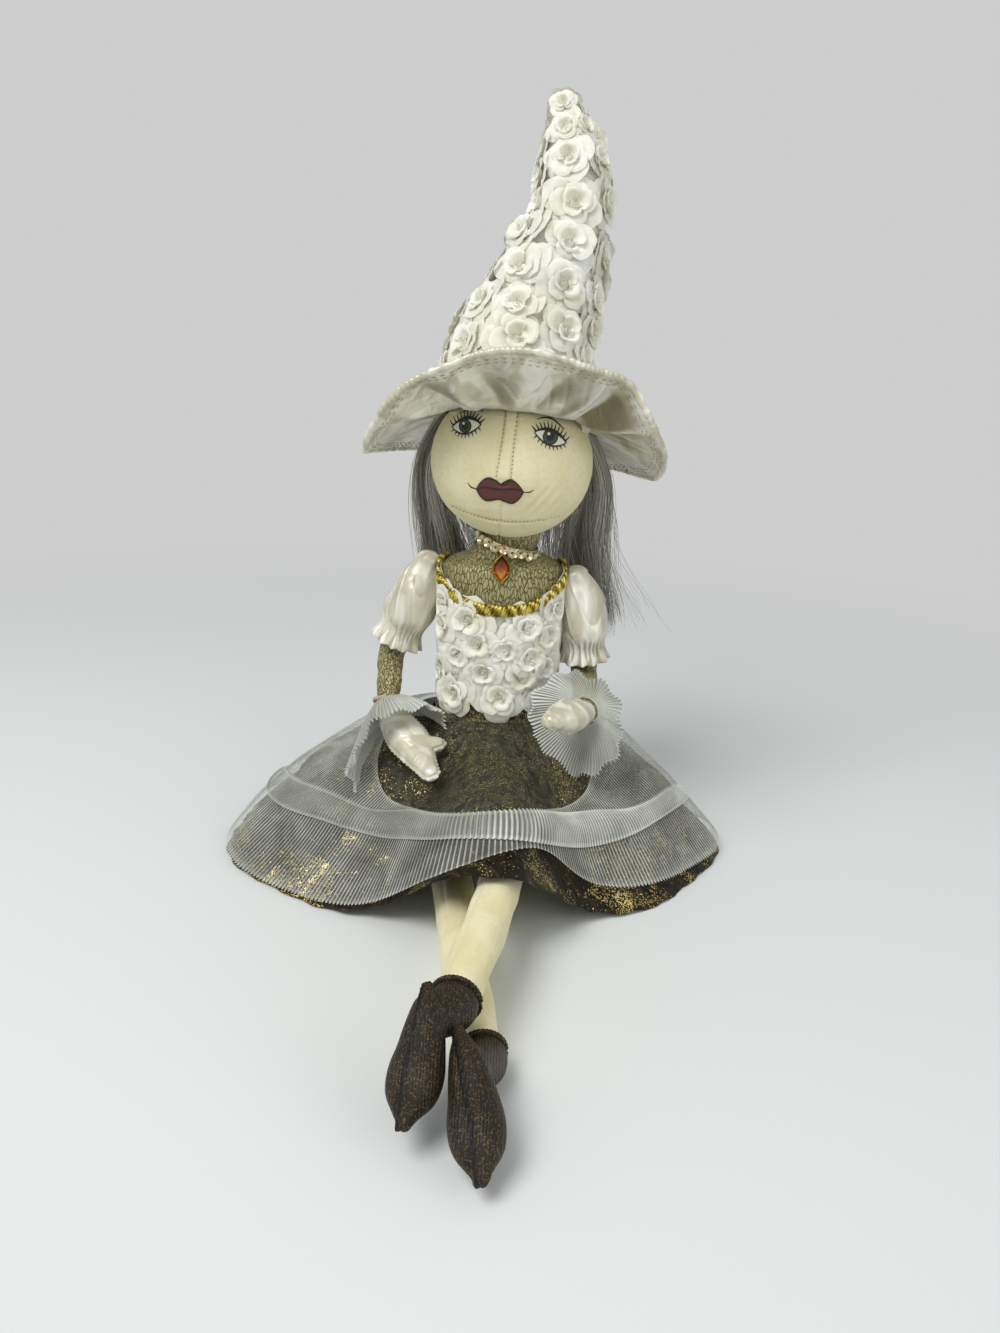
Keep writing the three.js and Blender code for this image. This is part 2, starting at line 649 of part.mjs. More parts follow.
// Slipper: a pointed sole-seam shape from heel tip to toe, with a sleeve round the ankle
function shoeSolid(leg, grow = 0) {
  const { heel, toe, path } = leg;
  const along = toe.clone().sub(heel);
  const foot = limb({
    path: [heel, heel.clone().addScaledVector(along, 0.5).add(vec(2, 3, -2)), toe],
    width: [2.6, shoeWidth * 0.25, shoeWidth * 0.37, shoeWidth * 0.44, shoeWidth / 2, shoeWidth * 0.44, 4.6],
    depth: [2.6, shoeDepth * 0.3, shoeDepth * 0.42, shoeDepth * 0.46, shoeDepth / 2, shoeDepth * 0.42, 4],
    sides: 12, steps: 8, grow,
  });
  const ankle = path[path.length - 1];
  const back = path[path.length - 2].clone().sub(ankle).normalize();
  const instep = heel.clone().addScaledVector(along, 0.3).add(vec(2, 3, -2));
  const collar = limb({
    path: [ankle.clone().addScaledVector(back, 6), ankle, instep],
    width: [ankleRadius + 1.6, ankleRadius + 2, shoeDepth * 0.4], sides: 16, steps: 4, grow, round: [0, 0.5],
  });
  return foot.add(collar);
}

// Bodice edge: low in front, over the top of the shoulders at the sides
const necklineHeight = (angle) => {
  const side = Math.abs(Math.cos(angle)) ** 2.6;
  const dip = Math.sin(angle) < 0 ? necklineDip : necklineDip * 0.4;
  return shoulderHeight + necklineRise - dip * (1 - side);
};
const bodiceFoot = waistHeight + 1;
const bodicePoint = (angle, t) => onBody(angle, necklineHeight(angle) + (bodiceFoot - necklineHeight(angle)) * t);

function bodiceSwell(angle, t) {
  const fall = (necklineHeight(angle) - bodiceFoot) * t;
  const edge = Math.min(1, t / 0.12, (1 - t) / 0.04);
  return edge * roseSwell(angle, fall, Math.PI * (chestWidth + chestDepth) * 0.5);
}

// Jewels
const chokerCentre = nodPivot.clone().lerp(neckFoot, 0.46);
const neckLean = new THREE.Quaternion().setFromUnitVectors(Z, nodPivot.clone().sub(neckFoot).normalize());
function chokerSolid() {
  const inner = neckRadius + chokerGap;
  const band = new THREE.Shape();
  band.absarc(0, 0, inner + chokerThickness, 0, 2 * Math.PI);
  band.holes.push(new THREE.Path().absarc(0, 0, inner, 0, 2 * Math.PI, true));
  const ring = new THREE.ExtrudeGeometry(band, { depth: chokerHeight, bevelEnabled: false, curveSegments: 10 });
  ring.translate(0, 0, -chokerHeight / 2);
  const sequins = Array.from({ length: 7 }, (_, i) => {
    const a = -Math.PI / 2 + rad(22) * (i - 3);
    const disc = new THREE.CylinderGeometry(sequinRadius, sequinRadius * 0.7, sequinThickness, 6);
    disc.rotateX(Math.PI / 2);
    disc.rotateX(-0.3);
    disc.rotateZ(a + Math.PI / 2);
    const out = inner + chokerThickness + sequinThickness * 0.8;
    disc.translate(out * Math.cos(a), out * Math.sin(a), i % 2 ? 0.7 : -0.7);
    return solid(disc);
  });
  const place = new THREE.Matrix4().makeTranslation(chokerCentre)
    .multiply(new THREE.Matrix4().makeRotationFromQuaternion(neckLean));
  return joined([solid(ring), ...sequins]).transform(place.elements);
}

function marquise(width, height, depth) {
  const half = width / 2;
  const rise = height / 2;
  const shape = new THREE.Shape();
  shape.moveTo(0, rise);
  shape.quadraticCurveTo(half * 1.25, rise * 0.25, half * 0.9, 0);
  shape.quadraticCurveTo(half * 0.9, -rise * 0.4, 0, -rise);
  shape.quadraticCurveTo(-half * 0.9, -rise * 0.4, -half * 0.9, 0);
  shape.quadraticCurveTo(-half * 1.25, rise * 0.25, 0, rise);
  const geometry = new THREE.ExtrudeGeometry(shape, { depth, bevelEnabled: false, curveSegments: 4 });
  geometry.rotateX(Math.PI / 2);
  return geometry;
}

const settingHeight = stoneHeight + 3 * settingRim;
const pendantTop = chokerCentre.z - chokerHeight / 2 - sequinRadius * 0.5;
const pendantCentre = vec(chokerCentre.x - 4, -neckRadius - 5, pendantTop - settingHeight / 2);
const pendantTilt = new THREE.Matrix4().makeTranslation(pendantCentre)
  .multiply(new THREE.Matrix4().makeRotationX(-rad(16)));
const stoneBody = (grow = 0) => solid(marquise(stoneWidth + 2 * grow, stoneHeight + 3 * grow, stoneDepth)
  .translate(0, -1, 0)).transform(pendantTilt.elements);
const settingBody = () => solid(marquise(stoneWidth + 2 * settingRim, stoneHeight + 3 * settingRim, stoneDepth * 0.6))
  .transform(pendantTilt.elements);

// Hair: long locks under the brim, behind the shoulders
const lock = (points, width, depth, steps = 7) => limb({
  path: points.map(([x, y, z]) => vec(x, y, z).add(headCentre)), width, depth, sides: 10, steps,
});
const locks = {
  hair_right: lock([[-52, 18, 12], [-56, 27, -18], [-46, 46, -62], [-38, 57, -100], [-36, 62, -130]],
    [9, 15, 16, 13, 5], [5, 8, 7, 6, 3]),
  hair_left: lock([[52, 20, 8], [58, 31, -22], [58, 46, -62], [60, 55, -104], [64, 58, -140]],
    [9, 15, 17, 14, 5], [5, 8, 7, 6, 3]),
  hair_back: lock([[2, 48, -5], [2, 55, -28], [4, 57, -62], [6, 61, -104], [6, 65, -136]],
    [34, 38, 34, 26, 12], [4, 6, 6, 5, 3], 8),
};

// Assembly: every piece is cut by the ones that it lies on, then named and coloured
const colours = {
  muslin: ['#e9e0b4', 0.9, 0], satin: ['#ece5cf', 0.35, 0], rose: ['#f0ecdc', 0.8, 0],
  crinkle: ['#6f6230', 0.7, 0.2], gold: ['#b08f2c', 0.4, 0.8], glitter: ['#3a3222', 0.6, 0.3],
  lame: ['#6b5320', 0.4, 0.6], organza: ['#aeada4', 0.6, 0], lurex: ['#2b1d13', 0.55, 0.3],
  hair: ['#8f8a86', 0.8, 0], amber: ['#a8420c', 0.1, 0],
};
const doll = new THREE.Group();
function geometryOf(body) {
  const { numProp, vertProperties, triVerts } = body.getMesh();
  const positions = new Float32Array((vertProperties.length / numProp) * 3);
  for (let i = 0; i < positions.length / 3; i += 1) {
    for (let k = 0; k < 3; k += 1) positions[3 * i + k] = vertProperties[numProp * i + k];
  }
  const geometry = new THREE.BufferGeometry();
  geometry.setAttribute('position', new THREE.BufferAttribute(positions, 3));
  return geometry.setIndex(new THREE.BufferAttribute(new Uint32Array(triVerts), 1));
}

function place(name, body, colour) {
  // a pocket that touches the outside at one point only comes free once its points are merged again
  const single = largest(solid(geometryOf(largest(body))));
  const [hex, roughness, metalness] = colours[colour];
  const material = new THREE.MeshStandardMaterial({ color: hex, roughness, metalness });
  const mesh = new THREE.Mesh(geometryOf(single), material);
  mesh.name = name;
  doll.add(mesh);
}

// Trunk
const bodyGrown = bodySolid(clearance);
const slabGrown = trunkSlab(clearance);
const besideTrunk = block(vec(-200, -200, chestHeight - 40), vec(200, 200, 300)).subtract(trunkSlab(0));
const neckGrown = neckSolid(clearance);
let torso = without(bodySolid(0), besideTrunk, neckGrown);
torso = without(torso, hipRoom(legs.right, dropRange), hipRoom(legs.left, -liftRange));
place('torso_body', torso, 'crinkle');
place('neck', neckSolid(0), 'crinkle');

// Head and hat
const head = headSolid(0).subtract(neckRoom());
const headGrown = headSolid(clearance);
const crownGrown = crownSolid(clearance);
const brimGrown = brimSolid(clearance);
const wireGrown = wireSolid(clearance);
place('head', head, 'muslin');
place('hat_crown', without(crownSolid(0, crownSwell), headGrown, brimGrown), 'rose');
place('hat_brim', without(brimSolid(), headGrown, wireGrown), 'satin');
place('brim_wire', wireSolid(), 'satin');
for (const [name, body] of Object.entries(locks)) {
  place(name, without(body, headGrown, crownGrown, brimGrown, wireGrown), 'hair');
}

// Bodice, neckline and waist
const trimCurve = (a) => onBody(a, necklineHeight(a), clothGap + trimRadius);
const trim = hoop({ curve: trimCurve, radius: trimRadius, around: 32 });
const trimGrown = hoop({ curve: trimCurve, radius: trimRadius + clearance, around: 32 });
const bodice = sheet({
  surface: bodicePoint, around: 28, down: 7, inner: clothGap,
  outer: (a, t) => clothGap + bodiceThickness + bodiceSwell(a, t),
});
const shouldersGrown = bodyGrown.intersect(block(vec(-90, -90, shoulderHeight - 10), vec(90, 90, shoulderTop + 10)));
place('bodice', without(bodice, neckGrown, shouldersGrown, besideTrunk, trimGrown), 'rose');
place('neckline_trim', without(trim, shouldersGrown, besideTrunk), 'gold');
place('waistband', sheet({
  surface: (a, t) => onBody(a, bodiceFoot - clearance * 2 - bandHeight * t),
  around: 24, down: 2, inner: clothGap, outer: clothGap + bandThickness,
}), 'glitter');

// Skirt layers, each laid on the one below
place('underskirt', underskirt, 'lame');
place('organza_flounce', flounce, 'organza');
place('glitter_overlay', overlay, 'glitter');

// Arms
const lap = lapSolid(layerHeights.glitter + clearance, ridgeRise);
for (const side of ['right', 'left']) {
  const arm = arms[side];
  const forearmGrown = forearmSolid(arm, clearance);
  const elbowRoom = sweptRoom({
    pivot: arm.elbow, toward: arm.wrist.clone().sub(arm.elbow), radius: elbowRadius + swingClearance,
    swing: -elbowRange[side],
  });
  const upper = upperArmSolid(arm).subtract(elbowRoom);
  const hand = without(handSolid(arm), forearmGrown, lap);
  const ruffle = ruffleSolid(arm, cuffs[side]);
  place(`sleeve_${side}`, without(sleeveSolid(arm), upperArmSolid(arm, clearance), slabGrown), 'satin');
  place(`upper_arm_${side}`, upper.subtract(slabGrown), 'crinkle');
  place(`forearm_${side}`, forearmSolid(arm), 'crinkle');
  place(`hand_${side}`, hand, 'satin');
  place(`cuff_ruffle_${side}`, without(ruffle, handSolid(arm, clearance), forearmGrown, lap), 'organza');
  place(`cuff_tie_${side}`, without(tieSolid(arm), forearmGrown, ruffleGrown(arm, cuffs[side])), 'organza');
}

// Legs
const aboveFloor = block(vec(-300, -600, 0), vec(300, 300, 300));
for (const side of ['right', 'left']) {
  const leg = legs[side];
  place(`leg_${side}`, legSolid(leg).intersect(aboveFloor), 'muslin');
  const other = side === 'right' ? [shoeSolid(legs.left, clearance), legSolid(legs.left, clearance)] : [];
  const shoe = without(shoeSolid(leg), legSolid(leg, clearance), ...other);
  place(`shoe_${side}`, shoe.intersect(aboveFloor), 'lurex');
}

// Choker and pendant
place('choker', chokerSolid(), 'gold');
place('pendant_setting', without(settingBody(), stoneBody(clearance), bodyGrown, neckGrown), 'gold');
place('pendant_stone', stoneBody(), 'amber');

export default doll;
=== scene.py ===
"""The looks of a seated cloth witch doll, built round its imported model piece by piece, from the hat down."""

import math
import random

import bmesh
import bpy
import numpy as np
from mathutils import Matrix, Vector
from mathutils.bvhtree import BVHTree


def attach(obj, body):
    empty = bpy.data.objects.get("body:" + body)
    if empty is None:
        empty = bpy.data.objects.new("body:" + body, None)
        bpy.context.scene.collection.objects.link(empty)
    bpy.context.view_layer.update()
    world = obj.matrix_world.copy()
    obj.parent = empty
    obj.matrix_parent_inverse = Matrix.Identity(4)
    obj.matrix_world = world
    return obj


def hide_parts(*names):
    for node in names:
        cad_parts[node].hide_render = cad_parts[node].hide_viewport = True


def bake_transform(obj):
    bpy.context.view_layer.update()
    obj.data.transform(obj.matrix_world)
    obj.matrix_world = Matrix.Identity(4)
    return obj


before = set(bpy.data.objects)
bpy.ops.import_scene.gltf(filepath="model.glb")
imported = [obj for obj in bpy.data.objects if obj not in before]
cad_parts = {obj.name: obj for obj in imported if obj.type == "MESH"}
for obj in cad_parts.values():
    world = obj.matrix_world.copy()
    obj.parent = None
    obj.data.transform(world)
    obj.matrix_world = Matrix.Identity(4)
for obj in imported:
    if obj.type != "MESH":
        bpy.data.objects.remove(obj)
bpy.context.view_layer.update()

# Camera: a phone held above the lap and tipped down at the doll, turned a little clockwise.
# Its view is 1000 x 1333 pixels, and a length of 1010 pixels is one metre seen from one metre away.
focal_length, picture_wide, picture_high = 1010, 1000, 1333
pitch, roll = math.radians(17), math.radians(2.6)
lens_data = bpy.data.cameras.new("camera")
lens_data.sensor_width = 36
lens_data.lens = lens_data.sensor_width * focal_length / picture_high
camera = bpy.data.objects.new("camera", lens_data)
bpy.context.scene.collection.objects.link(camera)
eye_point = Vector((0.00828, -0.72, 0.354))
look = Vector((0, math.cos(pitch), -math.sin(pitch)))
right_way = Vector((math.cos(roll), math.sin(roll) * math.sin(pitch), math.sin(roll) * math.cos(pitch)))
up_way = Vector((-math.sin(roll), math.cos(roll) * math.sin(pitch), math.cos(roll) * math.cos(pitch)))
camera.matrix_world = Matrix.Translation(eye_point) @ Matrix((right_way, up_way, -look)).transposed().to_4x4()
bpy.context.scene.camera = camera


def sight(px, py):
    """The way from the camera to a place in the picture."""
    return (look * focal_length + right_way * (px - picture_wide / 2)
            - up_way * (py - picture_high / 2)).normalized()


# Studio: a pale board to sit on that fades into a pale backdrop, one large soft lamp from the upper left,
# a weak one from the right and an even sky, so a pale cloth stays below white.
def linear(code):
    """An sRGB hex colour as the linear one that a shader takes."""
    parts = [int(code[i:i + 2], 16) / 255 for i in (1, 3, 5)]
    return [c / 12.92 if c <= 0.04045 else ((c + 0.055) / 1.055) ** 2.4 for c in parts] + [1.0]


def feed(node, inputs):
    """Fills a node's inputs, each from a value, an output of another node, or that node's first output."""
    for name, value in inputs.items():
        value = value.outputs[0] if isinstance(value, bpy.types.Node) else value
        if isinstance(value, bpy.types.NodeSocket):
            node.id_data.links.new(value, node.inputs[name])
        else:
            node.inputs[name].default_value = value
    return node


def add(tree, kind, inputs=None, **settings):
    """Adds one node with its settings and links."""
    node = tree.nodes.new(kind)
    for name, value in settings.items():
        setattr(node, name, value)
    return feed(node, inputs or {})


def lamp(name, place, size, power):
    """A square soft box that looks at the doll's chest."""
    data = bpy.data.lights.new(name, "AREA")
    data.size = size
    data.energy = power
    soft_box = bpy.data.objects.new(name, data)
    soft_box.location = place
    soft_box.rotation_euler = (Vector((0, -0.05, 0.2)) - Vector(place)).to_track_quat("-Z", "Y").to_euler()
    bpy.context.scene.collection.objects.link(soft_box)


lamp("window_light", (-0.9, -1.1, 1.9), 1.1, 34)
lamp("room_light", (1.3, -1.3, 0.9), 1.3, 7.5)
sky = bpy.data.worlds.new("studio")
bpy.context.scene.world = sky
sky.use_nodes = True
sky.node_tree.nodes.clear()
ray = add(sky.node_tree, "ShaderNodeLightPath")
seen = add(sky.node_tree, "ShaderNodeMath", {0: ray.outputs["Is Camera Ray"], 1: ray.outputs["Is Transmission Ray"]},
           operation="MAXIMUM")
soft_sky = add(sky.node_tree, "ShaderNodeBackground", {"Color": linear("#f2f4f6"), "Strength": 0.5})
pale_wall = add(sky.node_tree, "ShaderNodeBackground", {"Color": linear("#cdcecd"), "Strength": 1.0})
sky_mix = add(sky.node_tree, "ShaderNodeMixShader", {0: seen, 1: soft_sky, 2: pale_wall})
add(sky.node_tree, "ShaderNodeOutputWorld", {"Surface": sky_mix})
bpy.context.scene.view_settings.view_transform = "Standard"

bm = bmesh.new()
bmesh.ops.create_circle(bm, cap_ends=True, segments=96, radius=2.5)
bmesh.ops.translate(bm, vec=(0, 0, -0.0004), verts=bm.verts)
board_mesh = bpy.data.meshes.new("board")
bm.to_mesh(board_mesh)
bm.free()
board = bpy.data.objects.new("board", board_mesh)
bpy.context.scene.collection.objects.link(board)
board_paint = bpy.data.materials.new("painted_board")
board_paint.use_nodes = True
tree = board_paint.node_tree
tree.nodes.clear()
where = add(tree, "ShaderNodeTexCoord").outputs
far = add(tree, "ShaderNodeVectorMath", {0: where["Object"]}, operation="LENGTH")
fade = add(tree, "ShaderNodeMapRange", {"Value": far.outputs["Value"], "From Min": 0.35, "From Max": 1.3},
           interpolation_type="SMOOTHSTEP")
matt = add(tree, "ShaderNodeBsdfDiffuse", {"Color": linear("#dfe2e0")})
clear = add(tree, "ShaderNodeBsdfTransparent")
board_mix = add(tree, "ShaderNodeMixShader", {0: fade, 1: matt, 2: clear})
add(tree, "ShaderNodeOutputMaterial", {"Surface": board_mix})
board_mesh.materials.append(board_paint)


# Head: a wide ball of cream muslin, stuffed hard. A narrow nose strip is sewn down its middle with small
# stitches on both sides, and a curved dart and a short upright one shape the chin.
def patch(bm, columns, rows, place, outside_in=False, shade=None):
    """A grid whose points go to place(u, v), in millimetres, with u and v from 0 to 1 kept as its UV map.
    shade(u, v) is kept at each point as painted light and shade: how much lighter or darker the cloth is painted
    there."""
    bm.loops.layers.uv.verify()
    # The shade layer holds painted light and shade, not a colour of the cloth.
    if shade:
        painted_shade_layer = bm.verts.layers.float.get("shade") or bm.verts.layers.float.new("shade")
    made = bmesh.ops.create_grid(bm, x_segments=columns, y_segments=rows, size=1, calc_uvs=True)["verts"]
    flat = np.array([v.co for v in made])
    points = place((flat[:, 0] + 1) / 2, (flat[:, 1] + 1) / 2) / 1000
    for vert, point in zip(made, points):
        vert.co = point
    if shade:
        for vert, value in zip(made, shade((flat[:, 0] + 1) / 2, (flat[:, 1] + 1) / 2)):
            vert[painted_shade_layer] = value
    if outside_in:
        bmesh.ops.reverse_faces(bm, faces=list({f for v in made for f in v.link_faces}))
    return made


def keep(bm, name, material, weld=2e-6):
    """Closes the seams and poles of a finished shape and puts it in the scene at the origin."""
    if weld:
        bmesh.ops.remove_doubles(bm, verts=bm.verts, dist=weld)
        bmesh.ops.dissolve_degenerate(bm, edges=bm.edges, dist=1e-7)
    mesh = bpy.data.meshes.new(name)
    bm.to_mesh(mesh)
    bm.free()
    mesh.shade_smooth()
    mesh.materials.append(material)
    piece = bpy.data.objects.new(name, mesh)
    bpy.context.scene.collection.objects.link(piece)
    return piece


def cloth(name, roughness, metallic=0.0, sheen=0.0):
    """A new material with its surface shader and the point that its patterns start from."""
    material = bpy.data.materials.new(name)
    material.use_nodes = True
    tree = material.node_tree
    surface = tree.nodes["Principled BSDF"]
    feed(surface, {"Roughness": roughness, "Metallic": metallic, "Sheen Weight": sheen})
    where = add(tree, "ShaderNodeTexCoord").outputs
    return material, tree, surface, where


def stacked(*parts):
    """Numbers or arrays side by side, as the columns of one array."""
    return np.stack(np.broadcast_arrays(*parts), axis=-1).astype(float)


def unit(way):
    """Directions brought to a length of one."""
    return way / np.maximum(np.linalg.norm(way, axis=-1, keepdims=True), 1e-9)


def turned_y(points, degrees):
    """Points turned about the upright plane's own axis, y."""
    a = math.radians(degrees)
    x, y, z = points[..., 0], points[..., 1], points[..., 2]
    return stacked(x * math.cos(a) + z * math.sin(a), y, z * math.cos(a) - x * math.sin(a))


HEAD_CENTRE = np.array([10, -7, 284.72])
HEAD_RADII = np.array([56.5, 50, 52])
HEAD_ROLL = 3.5


def bump(x, width):
    """A soft swelling, 1 where x is 0 and almost nothing two widths away."""
    return np.exp(-(x / width) ** 2)


def strip_middle(z):
    """Where the middle of the nose strip lies at a height."""
    return np.interp(z, [-6, 18, 38], [-4.65, -4.1, -3.65])


def strip_half(z):
    """Half the width of the nose strip at a height."""
    return np.interp(z, [-6, 18, 38], [4.2, 3.3, 3.1])


def chin_line(x):
    """The height of the chin's dart across the face."""
    return -36.4 + 0.0042 * (x + 4) ** 2


STRIP_STITCH, CHIN_STITCH = 2.7, 2.6  # from one stitch to the next, in millimetres


def face_relief(x, z):
    """How far the sewn face stands out of the plain ball, in millimetres."""
    off = np.abs(x - strip_middle(z)) - strip_half(z)
    near = 1 / (1 + np.exp(-(z + 6.5) / 0.9))
    strip = 1.7 / (1 + np.exp(off / 0.45))
    stitches = 1 + 0.45 * np.cos(2 * np.pi * z / STRIP_STITCH)
    seam = -0.95 * bump(off - 0.9, 0.85) * stitches
    pucker = 0.22 * np.cos(2 * np.pi * z / STRIP_STITCH) * bump(off - 3.0, 1.8)
    nose = near * (strip + seam + pucker)
    foot = -0.8 * bump(np.hypot(x + 4.6, z + 6.8) - 4.4, 0.8) * (z < -6.2)
    below = z - chin_line(x)
    dart = -1.0 * bump(below, 0.9) * (1 + 0.4 * np.cos(2 * np.pi * x / CHIN_STITCH)) * bump(x + 3, 31)
    dart = dart + 0.35 * bump(below + 2.6, 2.2) * bump(x + 3, 30)
    upright = -0.9 * bump(x + 4 + 0.02 * (z + 36), 0.9) / (1 + np.exp((z + 24) / 1.2))
    upright = upright * (1 + 0.4 * np.cos(2 * np.pi * z / CHIN_STITCH))
    gathers = 0.5 * np.sin(0.9 * (x - 0.75 * z)) * bump(np.hypot(x - 27, z + 25), 13)
    return nose + foot + dart + upright + gathers


def on_face(x, z, lift):
    """A place on the face, x to the doll's left and z up from the head's middle, in millimetres."""
    share = np.clip(1 - (x / HEAD_RADII[0]) ** 2 - (z / HEAD_RADII[2]) ** 2, 0.02, 1)
    ball = stacked(x, -HEAD_RADII[1] * np.sqrt(share), z)
    out = unit(ball / HEAD_RADII ** 2)
    return turned_y(ball + out * (face_relief(x, z) + lift)[..., None], HEAD_ROLL) + HEAD_CENTRE


bm = bmesh.new()
bmesh.ops.create_uvsphere(bm, u_segments=280, v_segments=170, radius=1)
sphere = np.array([v.co for v in bm.verts])
turn = np.arctan2(sphere[:, 0], -sphere[:, 1])
turn = turn - 0.5 * np.sin(turn)  # crowds the points in front, where the stitches are
flat = np.hypot(sphere[:, 0], sphere[:, 1])
ball = stacked(flat * np.sin(turn), -flat * np.cos(turn), sphere[:, 2]) * HEAD_RADII
out = unit(ball / HEAD_RADII ** 2)
front = 1 / (1 + np.exp((ball[:, 1] + 6) / 3))
lumps = 0.5 * np.sin(ball[:, 0] / 9 + 1) * np.sin(ball[:, 2] / 11 + 2) * np.sin(ball[:, 1] / 13)
ball = ball + out * (front * face_relief(ball[:, 0], ball[:, 2]) + lumps - 0.2)[:, None]
for vert, point in zip(bm.verts, turned_y(ball, HEAD_ROLL) + HEAD_CENTRE):
    vert.co = point / 1000

# Muslin: plain-woven unbleached cotton, washed soft. It is matt and warm, with slubs of 2.4 mm and faint tea-stain
# clouds of 30 mm. Its threads, 0.5 mm apart, are too fine to show: the weave is drawn as crossed waves of 5.7 mm,
# the cloth's slight unevenness. A texture's scale is its cells in a metre, so 34 makes them 29 mm wide; a wave
# texture swings once in 314 / scale millimetres.
muslin, tree, surface, where = cloth("muslin_cotton", 0.88, sheen=0.12)
feed(surface, {"Sheen Roughness": 0.5})
warp, weft = (add(tree, "ShaderNodeTexWave", {"Vector": where["Object"], "Scale": 1000 / 18, "Distortion": 1.2,
                                              "Detail": 1.0, "Detail Scale": 2.0}, bands_direction=way)
              for way in "XZ")
weave = add(tree, "ShaderNodeMath", {0: warp.outputs["Fac"], 1: weft.outputs["Fac"]}, operation="ADD")
clouds = add(tree, "ShaderNodeTexNoise", {"Vector": where["Object"], "Scale": 34, "Detail": 4.0})
slubs = add(tree, "ShaderNodeTexNoise", {"Vector": where["Object"], "Scale": 420, "Detail": 2.0})
tone = add(tree, "ShaderNodeValToRGB", {"Fac": clouds.outputs["Fac"]})
tone.color_ramp.elements[0].position, tone.color_ramp.elements[1].position = 0.32, 0.68
tone.color_ramp.elements[0].color = linear("#dfd6a6")
tone.color_ramp.elements[1].color = linear("#efe8c2")
fleck_share = add(tree, "ShaderNodeMapRange", {"Value": slubs.outputs["Fac"], "From Min": 0.45, "From Max": 0.8,
                                               "To Max": 0.45})
fleck = add(tree, "ShaderNodeMix", {"Factor": fleck_share, 6: tone.outputs["Color"], 7: linear("#d6cc9a")},
            data_type="RGBA")
feed(surface, {"Base Color": fleck.outputs[2]})
relief = add(tree, "ShaderNodeBump", {"Height": weave, "Strength": 0.35, "Distance": 0.00018})
relief = add(tree, "ShaderNodeBump", {"Height": slubs.outputs["Fac"], "Strength": 0.3, "Distance": 0.0004,
                                      "Normal": relief})
feed(surface, {"Normal": relief})

head = keep(bm, "head_cloth", muslin)
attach(head, "head_and_hat")
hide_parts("head")


# Face print: fabric paint screened on the muslin, so each colour is a thin flat film that follows the cloth:
# white, green and black for the eyes, brown-red for the lips, and black lines for lids, lashes and brows. The
# seams' stitches are drawn in the same way, in a brown thread.
def paint(name, code):
    """A screened fabric paint: even, a little glossy, with the muslin's threads just felt through it."""
    material, tree, surface, where = cloth(name, 0.6)
    grain = add(tree, "ShaderNodeTexNoise", {"Vector": where["Object"], "Scale": 900, "Detail": 2.0})
    colour = linear(code)
    worn = [c * 0.8 + 0.03 for c in colour[:3]] + [1.0]
    blend = add(tree, "ShaderNodeMix", {"Factor": grain.outputs["Fac"], 6: colour, 7: worn}, data_type="RGBA")
    feed(surface, {"Base Color": blend.outputs[2]})
    relief = add(tree, "ShaderNodeBump", {"Height": grain.outputs["Fac"], "Strength": 0.3, "Distance": 0.0002})
    feed(surface, {"Normal": relief})
    return material


def curve_at(points, t):
    """Points along a smooth line through the given ones, spread evenly by number."""
    points = np.array(points, float)
    t = np.atleast_1d(t) * (len(points) - 1)
    i = np.clip(t.astype(int), 0, len(points) - 2)
    w = (t - i)[:, None]
    before = points[np.maximum(i - 1, 0)]
    after = points[np.minimum(i + 2, len(points) - 1)]
    here, there = points[i], points[i + 1]
    rise, fall = (there - before) / 2, (after - here) / 2
    return ((2 * w ** 3 - 3 * w ** 2 + 1) * here + (w ** 3 - 2 * w ** 2 + w) * rise
            + (3 * w ** 2 - 2 * w ** 3) * there + (w ** 3 - w ** 2) * fall)


def inked_line(bm, points, widths, lift, steps):
    """A painted stroke on the face through points, of the given widths along it."""
    def place(u, v):
        middle = curve_at(points, u)
        way = unit(curve_at(points, np.minimum(u + 0.01, 1)) - curve_at(points, np.maximum(u - 0.01, 0)))
        half = np.interp(u, np.linspace(0, 1, len(widths)), widths) / 2
        off = (half * (2 * v - 1))[:, None] * np.stack([-way[:, 1], way[:, 0]], axis=1)
        spot = middle + off
        return on_face(spot[:, 0], spot[:, 1], lift)
    patch(bm, steps, 2, place)


def lids(corner_a, corner_b, top, bottom):
    """The upper and lower lid heights over x for an eye between two corners."""
    def chord(x):
        return np.interp(x, [corner_a[0], corner_b[0]], [corner_a[1], corner_b[1]])

    def share(x):
        return np.clip((x - corner_a[0]) / (corner_b[0] - corner_a[0]), 0, 1)

    def upper(x):
        return chord(x) + (top[1] - chord(top[0])) * np.sin(np.pi * share(x)) ** 0.75

    def lower(x):
        return chord(x) + (bottom[1] - chord(bottom[0])) * np.sin(np.pi * share(x)) ** 0.85
    return upper, lower


